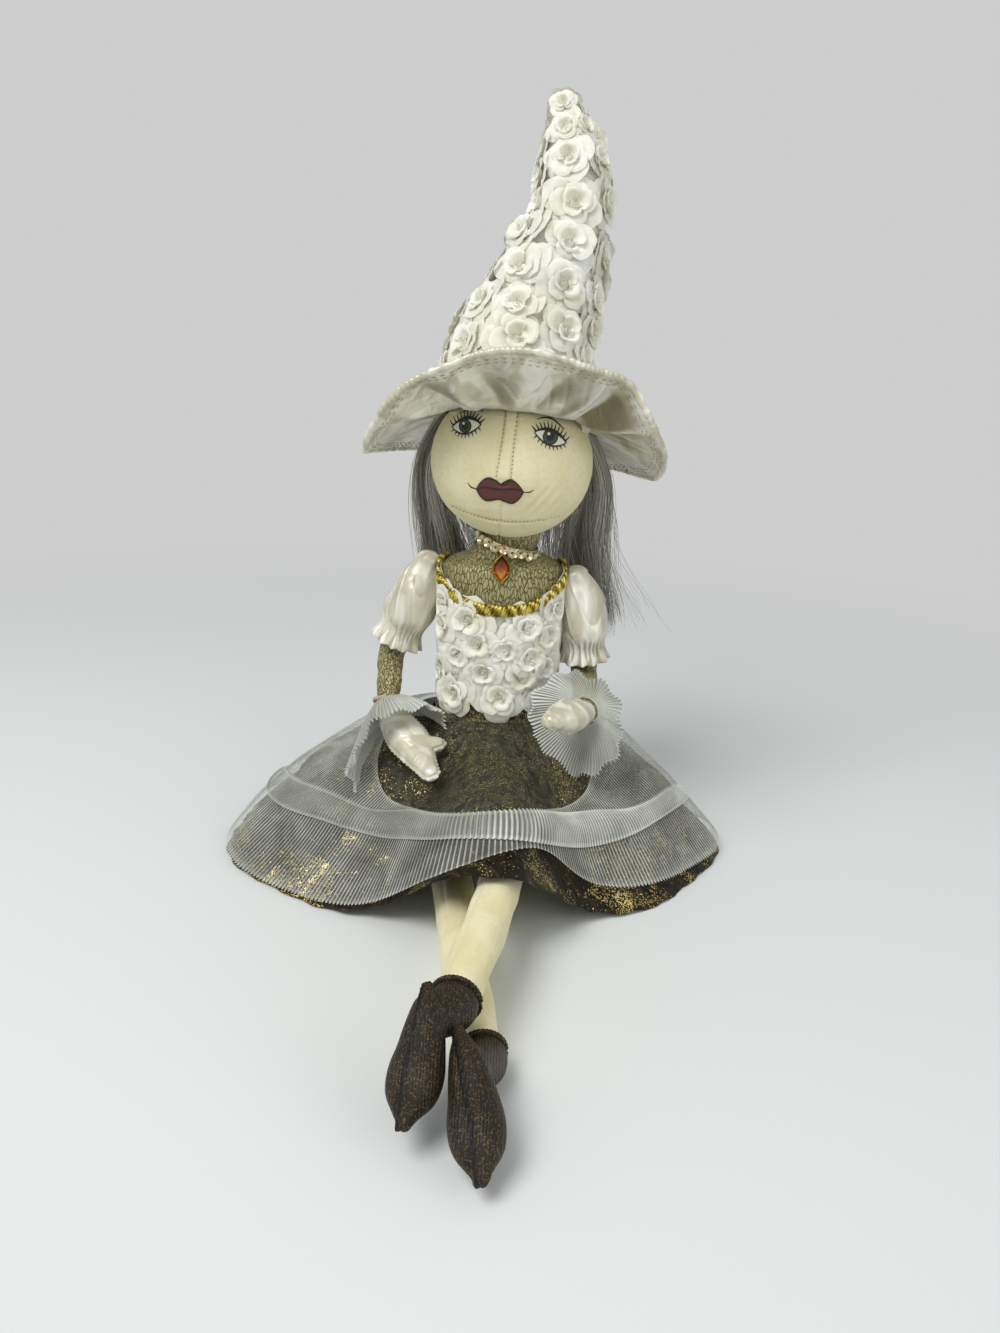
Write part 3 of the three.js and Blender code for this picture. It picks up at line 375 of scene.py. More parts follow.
eyes = [  # the corners, the highest and the lowest place of the lids, the iris and its radius
    dict(a=(-41.8, 21.1), b=(-22.8, 25.4), top=(-31.9, 28.4), bottom=(-32.7, 18.4), iris=(-33.1, 23.2), size=3.9),
    dict(a=(12.2, 24.6), b=(33.8, 19.6), top=(20.8, 27.3), bottom=(24.6, 17.1), iris=(22.9, 22.7), size=4.7),
]
brows = [
    [(-38.5, 30.3), (-32.6, 33.0), (-26.7, 34.7), (-21.9, 33.4)],
    [(13.0, 32.6), (18.0, 34.2), (24.0, 33.4), (31.8, 28.1)],
]
white_film, green_film, black_film, lip_film = (bmesh.new() for _ in range(4))
for eye in eyes:
    upper, lower = lids(eye["a"], eye["b"], eye["top"], eye["bottom"])

    def along_eye(share):
        return eye["a"][0] + (eye["b"][0] - eye["a"][0]) * share

    def eyeball(u, v):
        x = along_eye(u)
        return on_face(x, lower(x) + (upper(x) - lower(x)) * v, 0.15)

    def disc(centre, radius, lift):
        def place(u, v):
            x = centre[0] + radius * v * np.cos(2 * np.pi * u)
            z = centre[1] + radius * v * np.sin(2 * np.pi * u)
            return on_face(x, np.clip(z, lower(x), upper(x)), lift)
        return place
    patch(white_film, 28, 10, eyeball)
    patch(green_film, 32, 6, disc(eye["iris"], eye["size"], 0.24), outside_in=True)
    patch(black_film, 24, 4, disc(eye["iris"], eye["size"] * 0.58, 0.33), outside_in=True)
    shine = (eye["iris"][0] - 0.28 * eye["size"], eye["iris"][1] + 0.36 * eye["size"])
    patch(white_film, 12, 3, disc(shine, eye["size"] * 0.2, 0.42), outside_in=True)
    xs = along_eye(np.linspace(0, 1, 13))
    inked_line(black_film, np.stack([xs, upper(xs)], 1), [0.7, 1.5, 2.2, 2.2, 1.8, 0.8], 0.38, 30)
    inked_line(black_film, np.stack([xs, lower(xs)], 1), [0.6, 0.9, 1.1, 0.9, 0.6], 0.38, 30)
    ring = np.linspace(0, 2 * np.pi, 17)
    rim = np.stack([eye["iris"][0] + eye["size"] * np.cos(ring), eye["iris"][1] + eye["size"] * np.sin(ring)], 1)
    rim[:, 1] = np.clip(rim[:, 1], lower(rim[:, 0]), upper(rim[:, 0]))
    inked_line(black_film, rim, [0.8, 0.8], 0.3, 34)
    away = -1 if eye["a"][0] < -30 else 1
    for k in range(11):
        share = 0.04 + 0.092 * k
        x = along_eye(share)
        lean = (share - 0.5) * 1.7
        length = 5.2 - 1.6 * abs(share - 0.5)
        root = np.array([x, float(upper(np.array(x)))])
        tip = root + length * np.array([math.sin(lean), math.cos(lean)])
        inked_line(black_film, [root, root * 0.5 + tip * 0.5 + (0.25 * away, 0), tip], [1.1, 0.8, 0.2], 0.2, 5)
    for k in range(9):
        share = 0.08 + 0.105 * k
        x = along_eye(share)
        lean = (share - 0.5) * 1.9
        root = np.array([x, float(lower(np.array(x)))])
        tip = root + 2.9 * np.array([math.sin(lean), -math.cos(lean)])
        inked_line(black_film, [root, root * 0.5 + tip * 0.5, tip], [0.85, 0.6, 0.15], 0.2, 4)
for brow in brows:
    inked_line(black_film, brow, [0.35, 0.7, 1.0, 0.9, 0.35], 0.15, 20)
mouth_top = [(-21.6, -15.4), (-19, -10.5), (-14.7, -7.1), (-9.5, -8.2), (-6.1, -10.2), (-3.2, -8.0), (0.6, -6.5),
             (5.6, -9.4), (9.4, -13.6)]
mouth_line = [(-21.6, -15.4), (-17.5, -13.6), (-14, -13.2), (-10, -13.6), (-6.2, -13.5), (-2.6, -13.0), (1.2, -12.4),
              (5.4, -12.5), (9.4, -13.6)]
mouth_foot = [(-21.6, -15.4), (-18.6, -19.6), (-14.6, -22), (-10, -21.2), (-6.2, -20.1), (-2.6, -21), (2.9, -21.8),
              (7, -18.4), (9.4, -13.6)]
for edge_a, edge_b in ((mouth_line, mouth_top), (mouth_foot, mouth_line)):
    def lip(u, v):
        spot = curve_at(edge_a, u) * (1 - v)[:, None] + curve_at(edge_b, u) * v[:, None]
        return on_face(spot[:, 0], spot[:, 1], 0.3)
    patch(lip_film, 64, 16, lip)
inked_line(black_film, mouth_top, [0.4, 1.2, 1.1, 1.2, 0.4], 0.5, 40)
inked_line(black_film, mouth_foot, [0.4, 1.1, 0.9, 1.1, 0.4], 0.5, 40)
inked_line(black_film, mouth_line, [0.7, 1.1, 1.0, 1.1, 0.7], 0.55, 40)
inked_line(black_film, [(-27.8, -12.0), (-25.4, -14.6), (-21.6, -15.4)], [0.2, 0.8, 0.5], 0.2, 10)
inked_line(black_film, [(16.0, -11.5), (13.2, -13.4), (9.4, -13.6)], [0.2, 0.8, 0.5], 0.2, 10)
seam_film = bmesh.new()
for side_of_strip in (-1, 1):
    for k in range(20):
        z = -5.5 + STRIP_STITCH * k
        edge = strip_middle(z) + side_of_strip * (strip_half(z) + 0.7)
        inked_line(seam_film, [(edge - 0.35, z), (edge + 0.35, z + 1.2)], [0.45, 0.45], 0.25, 3)
for k in range(29):
    x = -38 + CHIN_STITCH * k
    inked_line(seam_film, [(x, chin_line(x)), (x + 1.4, chin_line(x + 1.4))], [0.4, 0.4], 0.3, 3)
films = [(seam_film, "seam_thread", "#8f7440"), (white_film, "print_white", "#f0edda"),
         (green_film, "print_green", "#34502c"), (black_film, "print_black", "#0c0a09"),
         (lip_film, "print_lips", "#5a2013")]
for film, name, code in films:
    print_film = keep(film, name, paint(name.replace("print", "fabric_paint"), code))
    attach(print_film, "head_and_hat")


# Hair: long mohair-like locks sewn under the hat band at both sides and behind, brushed out. Fine strands of
# light and mid grey lie over a darker core, and a few loose wisps hang at the doll's left.
def level(values, t):
    """A smooth value through numbers spread evenly along a length."""
    return curve_at(np.array(values, float)[:, None], t)[:, 0]


def arch(t):
    """Rises from 0 to 1 and falls back while t runs from 0 to 1."""
    return np.sin(np.pi * np.clip(t, 0, 1))


def square_to(way, side=(1, 0, 0)):
    """Two directions square to a way: the one nearest to side, and the one across both."""
    side = np.array(side, float)
    across = unit(side - (way @ side)[..., None] * way)
    return across, np.cross(way, across)


def round_about(middle, across, through, turn, wide, deep=None):
    """Points round a middle, wide along one direction and deep along the other."""
    deep = wide if deep is None else deep
    return middle + across * (wide * np.cos(turn))[:, None] + through * (deep * np.sin(turn))[:, None]


locks = {  # the path down from the head's middle, width and depth along it, strands, which way strays go, seed
    "hair_right": ([(-44, 12, 30), (-57, 22, -8), (-50, 42, -58), (-40, 55, -98), (-38, 62, -132)],
                   [7, 13, 18, 18, 13], [4, 8, 8, 6, 4], 900, -6, 1),
    "hair_left": ([(44, 14, 28), (58, 26, -12), (57, 42, -58), (62, 54, -102), (68, 58, -142)],
                  [7, 13, 19, 21, 18], [4, 8, 8, 6, 4], 950, 16, 2),
    "hair_back": ([(2, 48, -5), (2, 55, -28), (4, 57, -62), (6, 61, -104), (6, 65, -136)],
                  [34, 38, 34, 28, 20], [4, 6, 6, 5, 3], 1000, 0, 3),
}
STRAND_STEPS = 18  # pieces along a strand

# Mohair: long goat's hair, dyed grey. Each strand is glossy along its length and has a tone of its own, from mid
# grey to near white.
grey_hair, tree, surface, where = cloth("mohair_grey", 0.42)
feed(surface, {"Anisotropic": 0.5})
strand_tone = add(tree, "ShaderNodeAttribute", attribute_name="tone")
hair_colour = add(tree, "ShaderNodeValToRGB", {"Fac": strand_tone.outputs["Fac"]})
hair_colour.color_ramp.elements[0].color = linear("#5f594e")
hair_colour.color_ramp.elements[1].color = linear("#ebe7db")
feed(surface, {"Base Color": hair_colour.outputs["Color"]})
for name, (path, wide, deep, count, away, seed) in locks.items():
    chance = random.Random(seed)
    rows = np.linspace(0, 1, STRAND_STEPS + 1)
    middle = curve_at(path, rows) + HEAD_CENTRE
    across, through = square_to(unit(np.gradient(middle, axis=0)))
    bm = bmesh.new()
    tone_layer = bm.verts.layers.float.new("tone")

    def core(u, v):
        row = np.round(v * STRAND_STEPS).astype(int)
        ends = arch(v * 0.94 + 0.03) ** 0.25
        return round_about(middle[row], across[row], through[row], 2 * np.pi * u,
                           level(wide, rows)[row] * 0.55 * ends, level(deep, rows)[row] * 0.5 * ends)
    patch(bm, 20, STRAND_STEPS, core)
    clumps = []
    for _ in range(18):
        angle, out = chance.uniform(0, 2 * math.pi), chance.uniform(0.45, 0.95)
        clumps.append(dict(p=out * math.cos(angle), q=out * math.sin(angle), wave=chance.uniform(2.5, 6.0),
                           turns=chance.uniform(7, 14), phase=chance.uniform(0, 6.3), fan=chance.gauss(0, 8),
                           stop=chance.uniform(0.86, 1.0), shade=chance.uniform(0.1, 0.95)))
    for k in range(count):
        clump = chance.choice(clumps)
        p, q = clump["p"] + chance.gauss(0, 0.17), clump["q"] + chance.gauss(0, 0.22)
        wave = clump["wave"] * chance.uniform(0.75, 1.25)
        phase, turns, draw = clump["phase"] + chance.gauss(0, 0.3), clump["turns"], chance.uniform(0.25, 1.0)
        stray = chance.random() < 0.12
        spread = clump["fan"] + (chance.gauss(away, 16) if stray else chance.gauss(0, 1.6))
        shade = min(1.0, max(0.05, clump["shade"] + chance.gauss(0, 0.2)))
        stop = clump["stop"] * chance.uniform(0.9, 1.02)
        thick = chance.uniform(0.1, 0.2)

        def strand(u, v):
            row = np.round(v * STRAND_STEPS).astype(int)
            t = np.minimum(rows[row] * stop, 1)
            centre = curve_at(middle, t)
            gathered = 1 - 0.35 * draw * t
            w = (level(wide, t) * (clump["p"] + (p - clump["p"]) * gathered) + spread * t ** 2
                 + wave * t ** 0.7 * np.sin(turns * t + phase))
            d = level(deep, t) * q + 0.5 * wave * t * np.cos(0.8 * turns * t + phase)
            centre = centre + across[row] * w[:, None] + through[row] * d[:, None]
            return round_about(centre, across[row], through[row], 2 * np.pi * u, thick * (1.1 - 0.7 * t))
        for vert in patch(bm, 3, STRAND_STEPS, strand):
            vert[tone_layer] = shade
    lock = keep(bm, name + "_strands", grey_hair, weld=None)
    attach(lock, "head_and_hat")
    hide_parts(name)


# Hat crown: a tall cone of netting stuffed soft, bent to the doll's left, and covered all over with chiffon
# roses of about 30 mm, whose outer petals lie over the next ones. Each rose is a gathered ribbon wound into a bud
# with three rings of petals round it.
def on_path(path, t):
    """A point on the centripetal curve through points that the solid's limbs also follow."""
    points = np.array(path, float)
    last = len(points) - 1
    i = min(int(t * last), last - 1)
    w = t * last - i
    p1, p2 = points[i], points[i + 1]
    p0 = points[i - 1] if i > 0 else 2 * p1 - p2
    p3 = points[i + 2] if i + 2 <= last else 2 * p2 - p1
    d0, d1, d2 = (max(math.sqrt(np.linalg.norm(b - a)), 1e-4) for a, b in ((p0, p1), (p1, p2), (p2, p3)))
    t1 = ((p1 - p0) / d0 - (p2 - p0) / (d0 + d1) + (p2 - p1) / d1) * d1
    t2 = ((p2 - p1) / d1 - (p3 - p1) / (d1 + d2) + (p3 - p2) / d2) * d1
    return p1 + t1 * w + (-3 * p1 + 3 * p2 - 2 * t1 - t2) * w ** 2 + (2 * p1 - 2 * p2 + t1 + t2) * w ** 3


def limb(path, wide, deep=None, ends=(1, 1), share=0.1, side=(1, 0, 0), more=None):
    """Where the skin of a stuffed limb lies: ellipses across a path with rounded ends."""
    deep = deep or wide
    first, last = (share if end else 0 for end in ends)

    def place(u, v):
        t = np.clip((v - first) / (1 - first - last), 0, 1)
        spots, back = np.unique(np.round(t, 6), return_inverse=True)
        middle = np.array([on_path(path, s) for s in spots])
        way = unit(np.array([on_path(path, min(s + 1e-3, 1)) - on_path(path, max(s - 1e-3, 0)) for s in spots]))
        across, through = square_to(way, side)
        half_w, half_d = level(wide, t), level(deep, t)
        start = np.clip((first - v) / max(first, 1e-9), 0, 1) * np.pi / 2 if first else 0 * v
        stop = np.clip((v - 1 + last) / max(last, 1e-9), 0, 1) * np.pi / 2 if last else 0 * v
        round_off = np.cos(start) * np.cos(stop)
        reach = (half_w + half_d) / 2
        shift = reach * (ends[1] * np.sin(stop) - ends[0] * np.sin(start))
        angle = 2 * np.pi * u
        swell = more(angle, v, t) if more else 0
        return round_about(middle[back] + way[back] * shift[:, None], across[back], through[back], angle,
                           (half_w + swell) * round_off, (half_d + swell) * round_off)
    return place


def turned_x(points, degrees):
    """Points tipped about the x axis."""
    a = math.radians(degrees)
    x, y, z = points[..., 0], points[..., 1], points[..., 2]
    return stacked(x, y * math.cos(a) - z * math.sin(a), y * math.sin(a) + z * math.cos(a))


def in_hat(x, y, z):
    """A place in the hat, which is tipped back and sits on the band circle round the head."""
    band = turned_y(np.array([-1.0, 2.0, 27.04]), HEAD_ROLL) + HEAD_CENTRE
    return turned_y(turned_x(stacked(x, y, z), -11), HEAD_ROLL) + band


crown_path = [in_hat(lean * 23, 0, rise * 207) for rise, lean in (
    (0.012, 0), (0.21, -0.02), (0.38, 0.42), (0.52, 0.7), (0.68, 1), (0.86, 0.86), (1, 0.6))]
crown_wide = [49, 45.6, 36.3, 29.4, 23, 18.1, 9]


def crumple(angle, v, t):
    """Shallow dents in the stuffed net."""
    return 0.7 * np.sin(5 * angle + 9 * t) * np.sin(23 * t) - 0.3


bm = bmesh.new()
patch(bm, 72, 84, limb(crown_path, crown_wide, [w * 0.93 for w in crown_wide], ends=(0, 1), more=crumple))
bmesh.ops.remove_doubles(bm, verts=bm.verts, dist=2e-6)
crown_shape = BVHTree.FromBMesh(bm)
crown_spots = [(v.co.copy(), v.normal.copy()) for v in bm.verts]

# Netting: fine white cotton net over wadding, which shows between the roses as a soft matt mesh with holes of
# about 1 mm.
netting, tree, surface, where = cloth("cotton_netting", 0.95)
mesh_holes = add(tree, "ShaderNodeTexVoronoi", {"Vector": where["Object"], "Scale": 1000 / 1.1},
                 feature="DISTANCE_TO_EDGE")
hole = add(tree, "ShaderNodeMapRange", {"Value": mesh_holes.outputs["Distance"], "From Max": 0.25})
net_colour = add(tree, "ShaderNodeMix", {"Factor": hole, 6: linear("#f2f0e5"), 7: linear("#dad7c8")},
                 data_type="RGBA")
feed(surface, {"Base Color": net_colour.outputs[2]})
relief = add(tree, "ShaderNodeBump", {"Height": hole, "Strength": 0.25, "Distance": 0.0003}, invert=True)
feed(surface, {"Normal": relief})
crown = keep(bm, "crown_netting", netting)
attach(crown, "head_and_hat")
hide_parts("hat_crown")

# Chiffon: crepe-twisted sheer polyester in ivory, in petals of one or two layers. It is matt, a petal's edge
# lets the next one show through, and the surface is pebbled at 0.7 mm with slow changes of tone over 22 mm.
chiffon, tree, surface, where = cloth("ivory_chiffon", 0.62, sheen=0.3)
feed(surface, {"Subsurface Weight": 0.2, "Subsurface Radius": (0.005, 0.0045, 0.0035)})
pebble = add(tree, "ShaderNodeTexNoise", {"Vector": where["Object"], "Scale": 1400, "Detail": 2.0})
drift = add(tree, "ShaderNodeTexNoise", {"Vector": where["Object"], "Scale": 45, "Detail": 3.0})
petal_tone = add(tree, "ShaderNodeValToRGB", {"Fac": drift.outputs["Fac"]})
petal_tone.color_ramp.elements[0].position, petal_tone.color_ramp.elements[1].position = 0.35, 0.65
petal_tone.color_ramp.elements[0].color = linear("#eeecd9")
petal_tone.color_ramp.elements[1].color = linear("#f8f7ee")
feed(surface, {"Base Color": petal_tone.outputs["Color"]})
petal_way = add(tree, "ShaderNodeSeparateXYZ", {"Vector": where["UV"]})
sheerness = add(tree, "ShaderNodeMapRange", {"Value": petal_way.outputs[1], "From Min": 0.1, "From Max": 0.9,
                                             "To Min": 0.94, "To Max": 0.74})
feed(surface, {"Alpha": sheerness})
relief = add(tree, "ShaderNodeBump", {"Height": pebble.outputs["Fac"], "Strength": 0.3, "Distance": 0.0002})
feed(surface, {"Normal": relief})


def rose(seed):
    """One sewn rose, about 42 mm across its spread petals, that faces up: three rings of them and a wound bud."""
    chance = random.Random(seed)
    bm = bmesh.new()
    rings = [  # petals, root and edge radius, root height, rise, half spread, columns, rows
        (5, 5.0, 22.5, 0.2, 3.4, 1.0, 12, 5),
        (4, 3.6, 17.0, 1.4, 5.4, 1.1, 12, 5),
        (3, 4.4, 11.8, 2.4, 7.2, 1.2, 12, 4),
    ]
    lean_x, lean_y = chance.uniform(-1.6, 1.6), chance.uniform(-1.6, 1.6)
    for level_up, (count, near, far_out, low, rise, spread, columns, rows) in enumerate(rings):
        start = chance.uniform(0, 6.3)
        for k in range(count):
            turn = start + 2 * math.pi * (k + chance.uniform(-0.2, 0.2)) / count
            reach = far_out * chance.uniform(0.82, 1.08)
            curl, phase, tuck = chance.uniform(0.4, 3.0), chance.uniform(0, 6.3), chance.choice((-1, 1))
            peak = chance.uniform(-0.5, 0.5)

            def petal(u, v):
                s = 2 * u - 1
                round_edge = 1 - 0.36 * np.abs(s - 0.4 * peak) ** 2.6 + 0.07 * bump(s - peak, 0.16)
                radius = near + (reach - near) * v * round_edge
                angle = turn + spread * s * (0.55 + 0.45 * arch(0.2 + 0.6 * v))
                height = (low + rise * np.sin(0.56 * np.pi * v) - curl * v ** 4 + 0.9 * tuck * s * v
                          + 0.8 * np.sin(2.6 * s + phase) * v ** 2 + 0.35 * np.sin(11 * s + 3 * phase) * v)
                return stacked(radius * np.cos(angle) + lean_x * level_up, radius * np.sin(angle) + lean_y * level_up,
                               height)
            patch(bm, columns, rows, petal, outside_in=True)

    def bud(u, v):
        angle = 3.2 * np.pi * u
        radius = (0.4 + 3.0 * u) * (0.8 + 0.35 * v)
        return stacked(radius * np.cos(angle) + 2 * lean_x, radius * np.sin(angle) + 2 * lean_y,
                       2.6 + 6.4 * v - 1.8 * u * v)
    patch(bm, 28, 3, bud)
    mesh = bpy.data.meshes.new(f"rose_pattern_{seed}")
    bm.to_mesh(mesh)
    bm.free()
    return mesh


rose_patterns = [rose(seed) for seed in range(11, 19)]


def rose_bed(name, shape, spots, picture_places, spacing, size_at, seed):
    """Roses sewn where the picture shows them, then over the rest of a surface at the same spacing."""
    chance = random.Random(seed)
    sewn = []
    for px, py in picture_places:
        point, normal, *_ = shape.ray_cast(eye_point, sight(px, py))
        if point is not None:
            sewn.append((point, normal))
    chance.shuffle(spots)
    for gap in (1.0, 0.84):
        for point, normal in spots:
            if size_at(point) and all((point - other).length > gap * spacing * size_at(point) for other, _ in sewn):
                sewn.append((point, normal))
    bm = bmesh.new()
    for k, (point, normal) in enumerate(sewn):
        first = len(bm.verts)
        bm.from_mesh(rose_patterns[k % len(rose_patterns)])
        bm.verts.ensure_lookup_table()
        size = (size_at(point) or 1) * chance.uniform(0.93, 1.05)
        stand = normal.to_track_quat("Z", "Y").to_matrix().to_4x4()
        matrix = (Matrix.Translation(point - normal * 0.0006) @ stand @ Matrix.Rotation(chance.uniform(0, 6.3), 4, "Z")
                  @ Matrix.Scale(size, 4))
        bmesh.ops.transform(bm, matrix=matrix, verts=bm.verts[first:])
    return keep(bm, name, chiffon, weld=None)


crown_axis = np.array(crown_path) / 1000


def crown_rose_size(point):
    """Roses leave the band free and are smaller towards the tip."""
    height = (np.array(point) - crown_axis[0]) @ (crown_axis[-1] - crown_axis[0])
    share = height / np.sum((crown_axis[-1] - crown_axis[0]) ** 2)
    return 0 if share < 0.075 else float(np.interp(share, [0, 0.7, 0.9, 1], [1, 0.9, 0.7, 0.5]))


crown_picture = [(563, 103), (565, 128), (568, 160), (573, 202), (529, 232), (570, 245), (524, 267), (565, 287),
                 (518, 306), (483, 303), (562, 330), (469, 341), (513, 339), (598, 160), (603, 202), (603, 235),
                 (590, 298), (587, 330)]
roses = rose_bed("crown_roses", crown_shape, crown_spots, crown_picture, 0.0265, crown_rose_size, 5)
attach(roses, "head_and_hat")


# Hat brim: two layers of champagne satin over interfacing, turned up in front and drooping at the sides and
# back in broad soft folds. Its edge is a ruched casing with a wire in it, held by two rows of stitches.
CROWN_RADIUS, BRIM_WIDTH, BRIM_OVAL = 49.6, 60, 0.93
brim_lifts = [  # angle from the doll's left, and how far the edge lies above the band there
    (-180, -32), (-167, -32), (-149, -21.4), (-137, -7.4), (-125, 5.9), (-114, 14), (-106, 21.1), (-97, 25.7),
    (-87, 27), (-77, 25.1), (-66, 21.9), (-52, 18.4), (-42, 2.7), (-33, -9), (-16, -21.1), (0, -28.2), (20, -25.6),
    (40, -19.2), (65, -13.8), (90, -12), (115, -13.8), (140, -21.1), (160, -27.2), (180, -32),
]
turns_of_brim = np.linspace(-180, 180, 721)


def value_at(pairs, at):
    """A smooth value at a place through [place, value] pairs, the same as the solids follow."""
    spots = [p[0] for p in pairs]
    if at <= spots[0] or at >= spots[-1]:
        return pairs[0][1] if at <= spots[0] else pairs[-1][1]
    i = next(k for k, s in enumerate(spots) if s > at) - 1

    def slope(j):
        a, b = pairs[max(j - 1, 0)], pairs[min(j + 1, len(pairs) - 1)]
        return (b[1] - a[1]) / (b[0] - a[0])
    w = spots[i + 1] - spots[i]
    t = (at - spots[i]) / w
    return ((2 * t ** 3 - 3 * t ** 2 + 1) * pairs[i][1] + (t ** 3 - 2 * t ** 2 + t) * w * slope(i)
            + (3 * t ** 2 - 2 * t ** 3) * pairs[i + 1][1] + (t ** 3 - t ** 2) * w * slope(i + 1))


brim_lift_table = np.array([value_at(brim_lifts, a) for a in turns_of_brim])


def brim_place(angle, t):
    """A place on the middle of the brim: t is 0 at the crown and 1 at the wired edge."""
    lift = np.interp(np.mod(np.degrees(angle) + 180, 360) - 180, turns_of_brim, brim_lift_table)
    reach = CROWN_RADIUS + t * np.sqrt(np.maximum(BRIM_WIDTH ** 2 - lift ** 2, 100))
    return in_hat(reach * np.cos(angle), reach * BRIM_OVAL * np.sin(angle), 2 + lift * np.maximum(t, 0) ** 1.4)


def facing(surface, angle, t, step=0.01):
    """The way that a surface of (angle, t) faces."""
    along = surface(angle + step, t) - surface(angle - step, t)
    down = surface(angle, t + step) - surface(angle, t - step)
    return unit(np.cross(down, along))


brim_valleys = [  # angle, how far it leans along the brim, width and depth of each soft fold
    (-47, -16, 5.5, 8.5), (-58, 4, 4.5, -5.0), (-35, -10, 4.5, -5.0), (-25, -16, 4, 3.5), (-131, 12, 6, 7.0),
    (-119, 4, 5, -4.0), (-146, 8, 5, -4.0), (-104, -8, 6, 2.8), (-89, 5, 6, -2.2), (-74, 8, 5, 3.2),
    (-12, -12, 5, 3.0), (-162, 8, 5, 3.6), (18, 0, 9, 2.4), (55, 6, 9, -2.0), (80, -5, 10, 2.2), (112, 4, 9, -2.2),
    (148, 0, 9, 2.2),
]


def brim_folds(angle, t):
    """How far the satin stands off the stiff middle of the brim: soft folds, creases in them and gathers."""
    degrees = np.mod(np.degrees(angle) + 180, 360) - 180
    across = arch(t) ** 0.7
    total = 0.5 * np.sin(17 * angle - 3 * t + 1) * across
    for middle, leaning, width, depth in brim_valleys:
        off = (degrees - middle - leaning * (t - 0.5)) / (width * (0.6 + 0.8 * t))
        total = total + depth * np.exp(-np.abs(off) ** 1.6) * across
    creases = 0.5 * (1 - np.abs(np.sin(14 * angle + 6 * t + 2 * np.sin(5 * angle)))) ** 3 * across
    gathers = 0.35 * np.sin(96 * angle + 3 * np.sin(7 * angle)) * np.clip((t - 0.78) / 0.2, 0, 1)
    return total + creases + gathers


def brim_skin(u, v):
    """The satin's middle, from just outside the crown to just inside the wire."""
    angle, t = 2 * np.pi * u, 0.005 + 0.975 * v
    return brim_place(angle, t) + facing(brim_place, angle, t) * brim_folds(angle, t)[:, None]


# Satin: a warp-faced weave of bright champagne polyester. The long floats give a broad soft gloss. Gloss and shade are
# also painted into its colour, in facets of about 14 mm that are lighter on their crests and darker in their dents,
# and the shade attribute paints the folds light on one flank and dim on the other. The threads, 0.1 mm apart, are too
# fine to show and are drawn as a faint grain of 1 x 4 mm.
satin, tree, surface, where = cloth("champagne_satin", 0.34, metallic=0.15, sheen=0.25)
feed(surface, {"Anisotropic": 0.6, "Specular IOR Level": 0.6})
askew = add(tree, "ShaderNodeMapping", {"Vector": where["Object"], "Rotation": (0.3, 0.6, 0.2),
                                        "Scale": (1, 1, 0.32)})
silk = add(tree, "ShaderNodeTexNoise", {"Vector": askew, "Scale": 75, "Detail": 1.5, "Distortion": 0.7})
facets = add(tree, "ShaderNodeMapRange", {"Value": silk.outputs["Fac"], "From Min": 0.4, "From Max": 0.62})
# Painted gloss and shade: lighter on the facets' crests, darker in their dents.
satin_painted_gloss = add(tree, "ShaderNodeMix", {"Factor": facets, 6: linear("#c9c3aa"), 7: linear("#efecdd")},
                 data_type="RGBA")
# Painted light and shade from the shade attribute: dim towards -1 and near white towards 1.
painted_shade_attr = add(tree, "ShaderNodeAttribute", attribute_name="shade")
painted_shade_share = add(tree, "ShaderNodeMapRange", {"Value": painted_shade_attr.outputs["Fac"], "From Max": -1.0})
painted_light_share = add(tree, "ShaderNodeMapRange", {"Value": painted_shade_attr.outputs["Fac"], "From Max": 1.0})
painted_shade_tone = add(tree, "ShaderNodeMix", {"Factor": painted_shade_share, 6: satin_painted_gloss.outputs[2],
                                     7: linear("#857b5d")}, data_type="RGBA")
painted_light_tone = add(tree, "ShaderNodeMix", {"Factor": painted_light_share, 6: painted_shade_tone.outputs[2],
                                          7: linear("#fbf8ee")}, data_type="RGBA")
feed(surface, {"Base Color": painted_light_tone.outputs[2]})
stretch = add(tree, "ShaderNodeMapping", {"Vector": where["Object"], "Scale": (1, 1, 0.3)})
grain = add(tree, "ShaderNodeTexNoise", {"Vector": stretch, "Scale": 900, "Detail": 2.0})
wrinkle = add(tree, "ShaderNodeTexNoise", {"Vector": where["Object"], "Scale": 70, "Detail": 2.0,
                                           "Distortion": 0.8})
relief = add(tree, "ShaderNodeBump", {"Height": facets, "Strength": 0.55, "Distance": 0.0016})
relief = add(tree, "ShaderNodeBump", {"Height": wrinkle.outputs["Fac"], "Strength": 0.3, "Distance": 0.0014,
                                      "Normal": relief})
relief = add(tree, "ShaderNodeBump", {"Height": grain.outputs["Fac"], "Strength": 0.2, "Distance": 0.0002,
                                      "Normal": relief})
feed(surface, {"Normal": relief})


def brim_painted_shade(u, v):
    """Painted light and shade on the satin: light on one flank of a fold and dim on the other, and dim in broad
    patches between.
    """
    angle, t = 2 * np.pi * u, 0.005 + 0.975 * v
    lean = (brim_folds(angle + 0.012, t) - brim_folds(angle - 0.012, t)) / (0.024 * (50 + 45 * t))
    broad = 0.3 * np.sin(5 * angle + 2.5 * t + 0.6) + 0.2 * np.sin(11 * angle - 4 * t + 2)
    across = arch(0.1 + 0.85 * t)
    return np.clip((1.6 * lean + broad - 0.12) * across, -1, 1)


bm = bmesh.new()
# The brim's painted light and shade is kept as its shade attribute.
patch(bm, 440, 24, brim_skin, shade=brim_painted_shade)
brim = keep(bm, "brim_satin", satin)
layers = brim.modifiers.new("two_layers", "SOLIDIFY")
layers.thickness = 0.0024
layers.offset = 0
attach(brim, "head_and_hat")
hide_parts("hat_brim")


def ring_tube(bm, curve, radius, around, sides, flat=1.0):
    """A soft tube that closes on itself along a curve of the angle; radius may change with the angle."""
    def place(u, v):
        angle = 2 * np.pi * u
        up, out = square_to(unit(curve(angle + 0.004) - curve(angle - 0.004)), (0, 0, 1))
        r = radius(angle, v) if callable(radius) else radius
        return round_about(curve(angle), out, up, 2 * np.pi * v, r, r * flat)
    return patch(bm, around, sides, place)


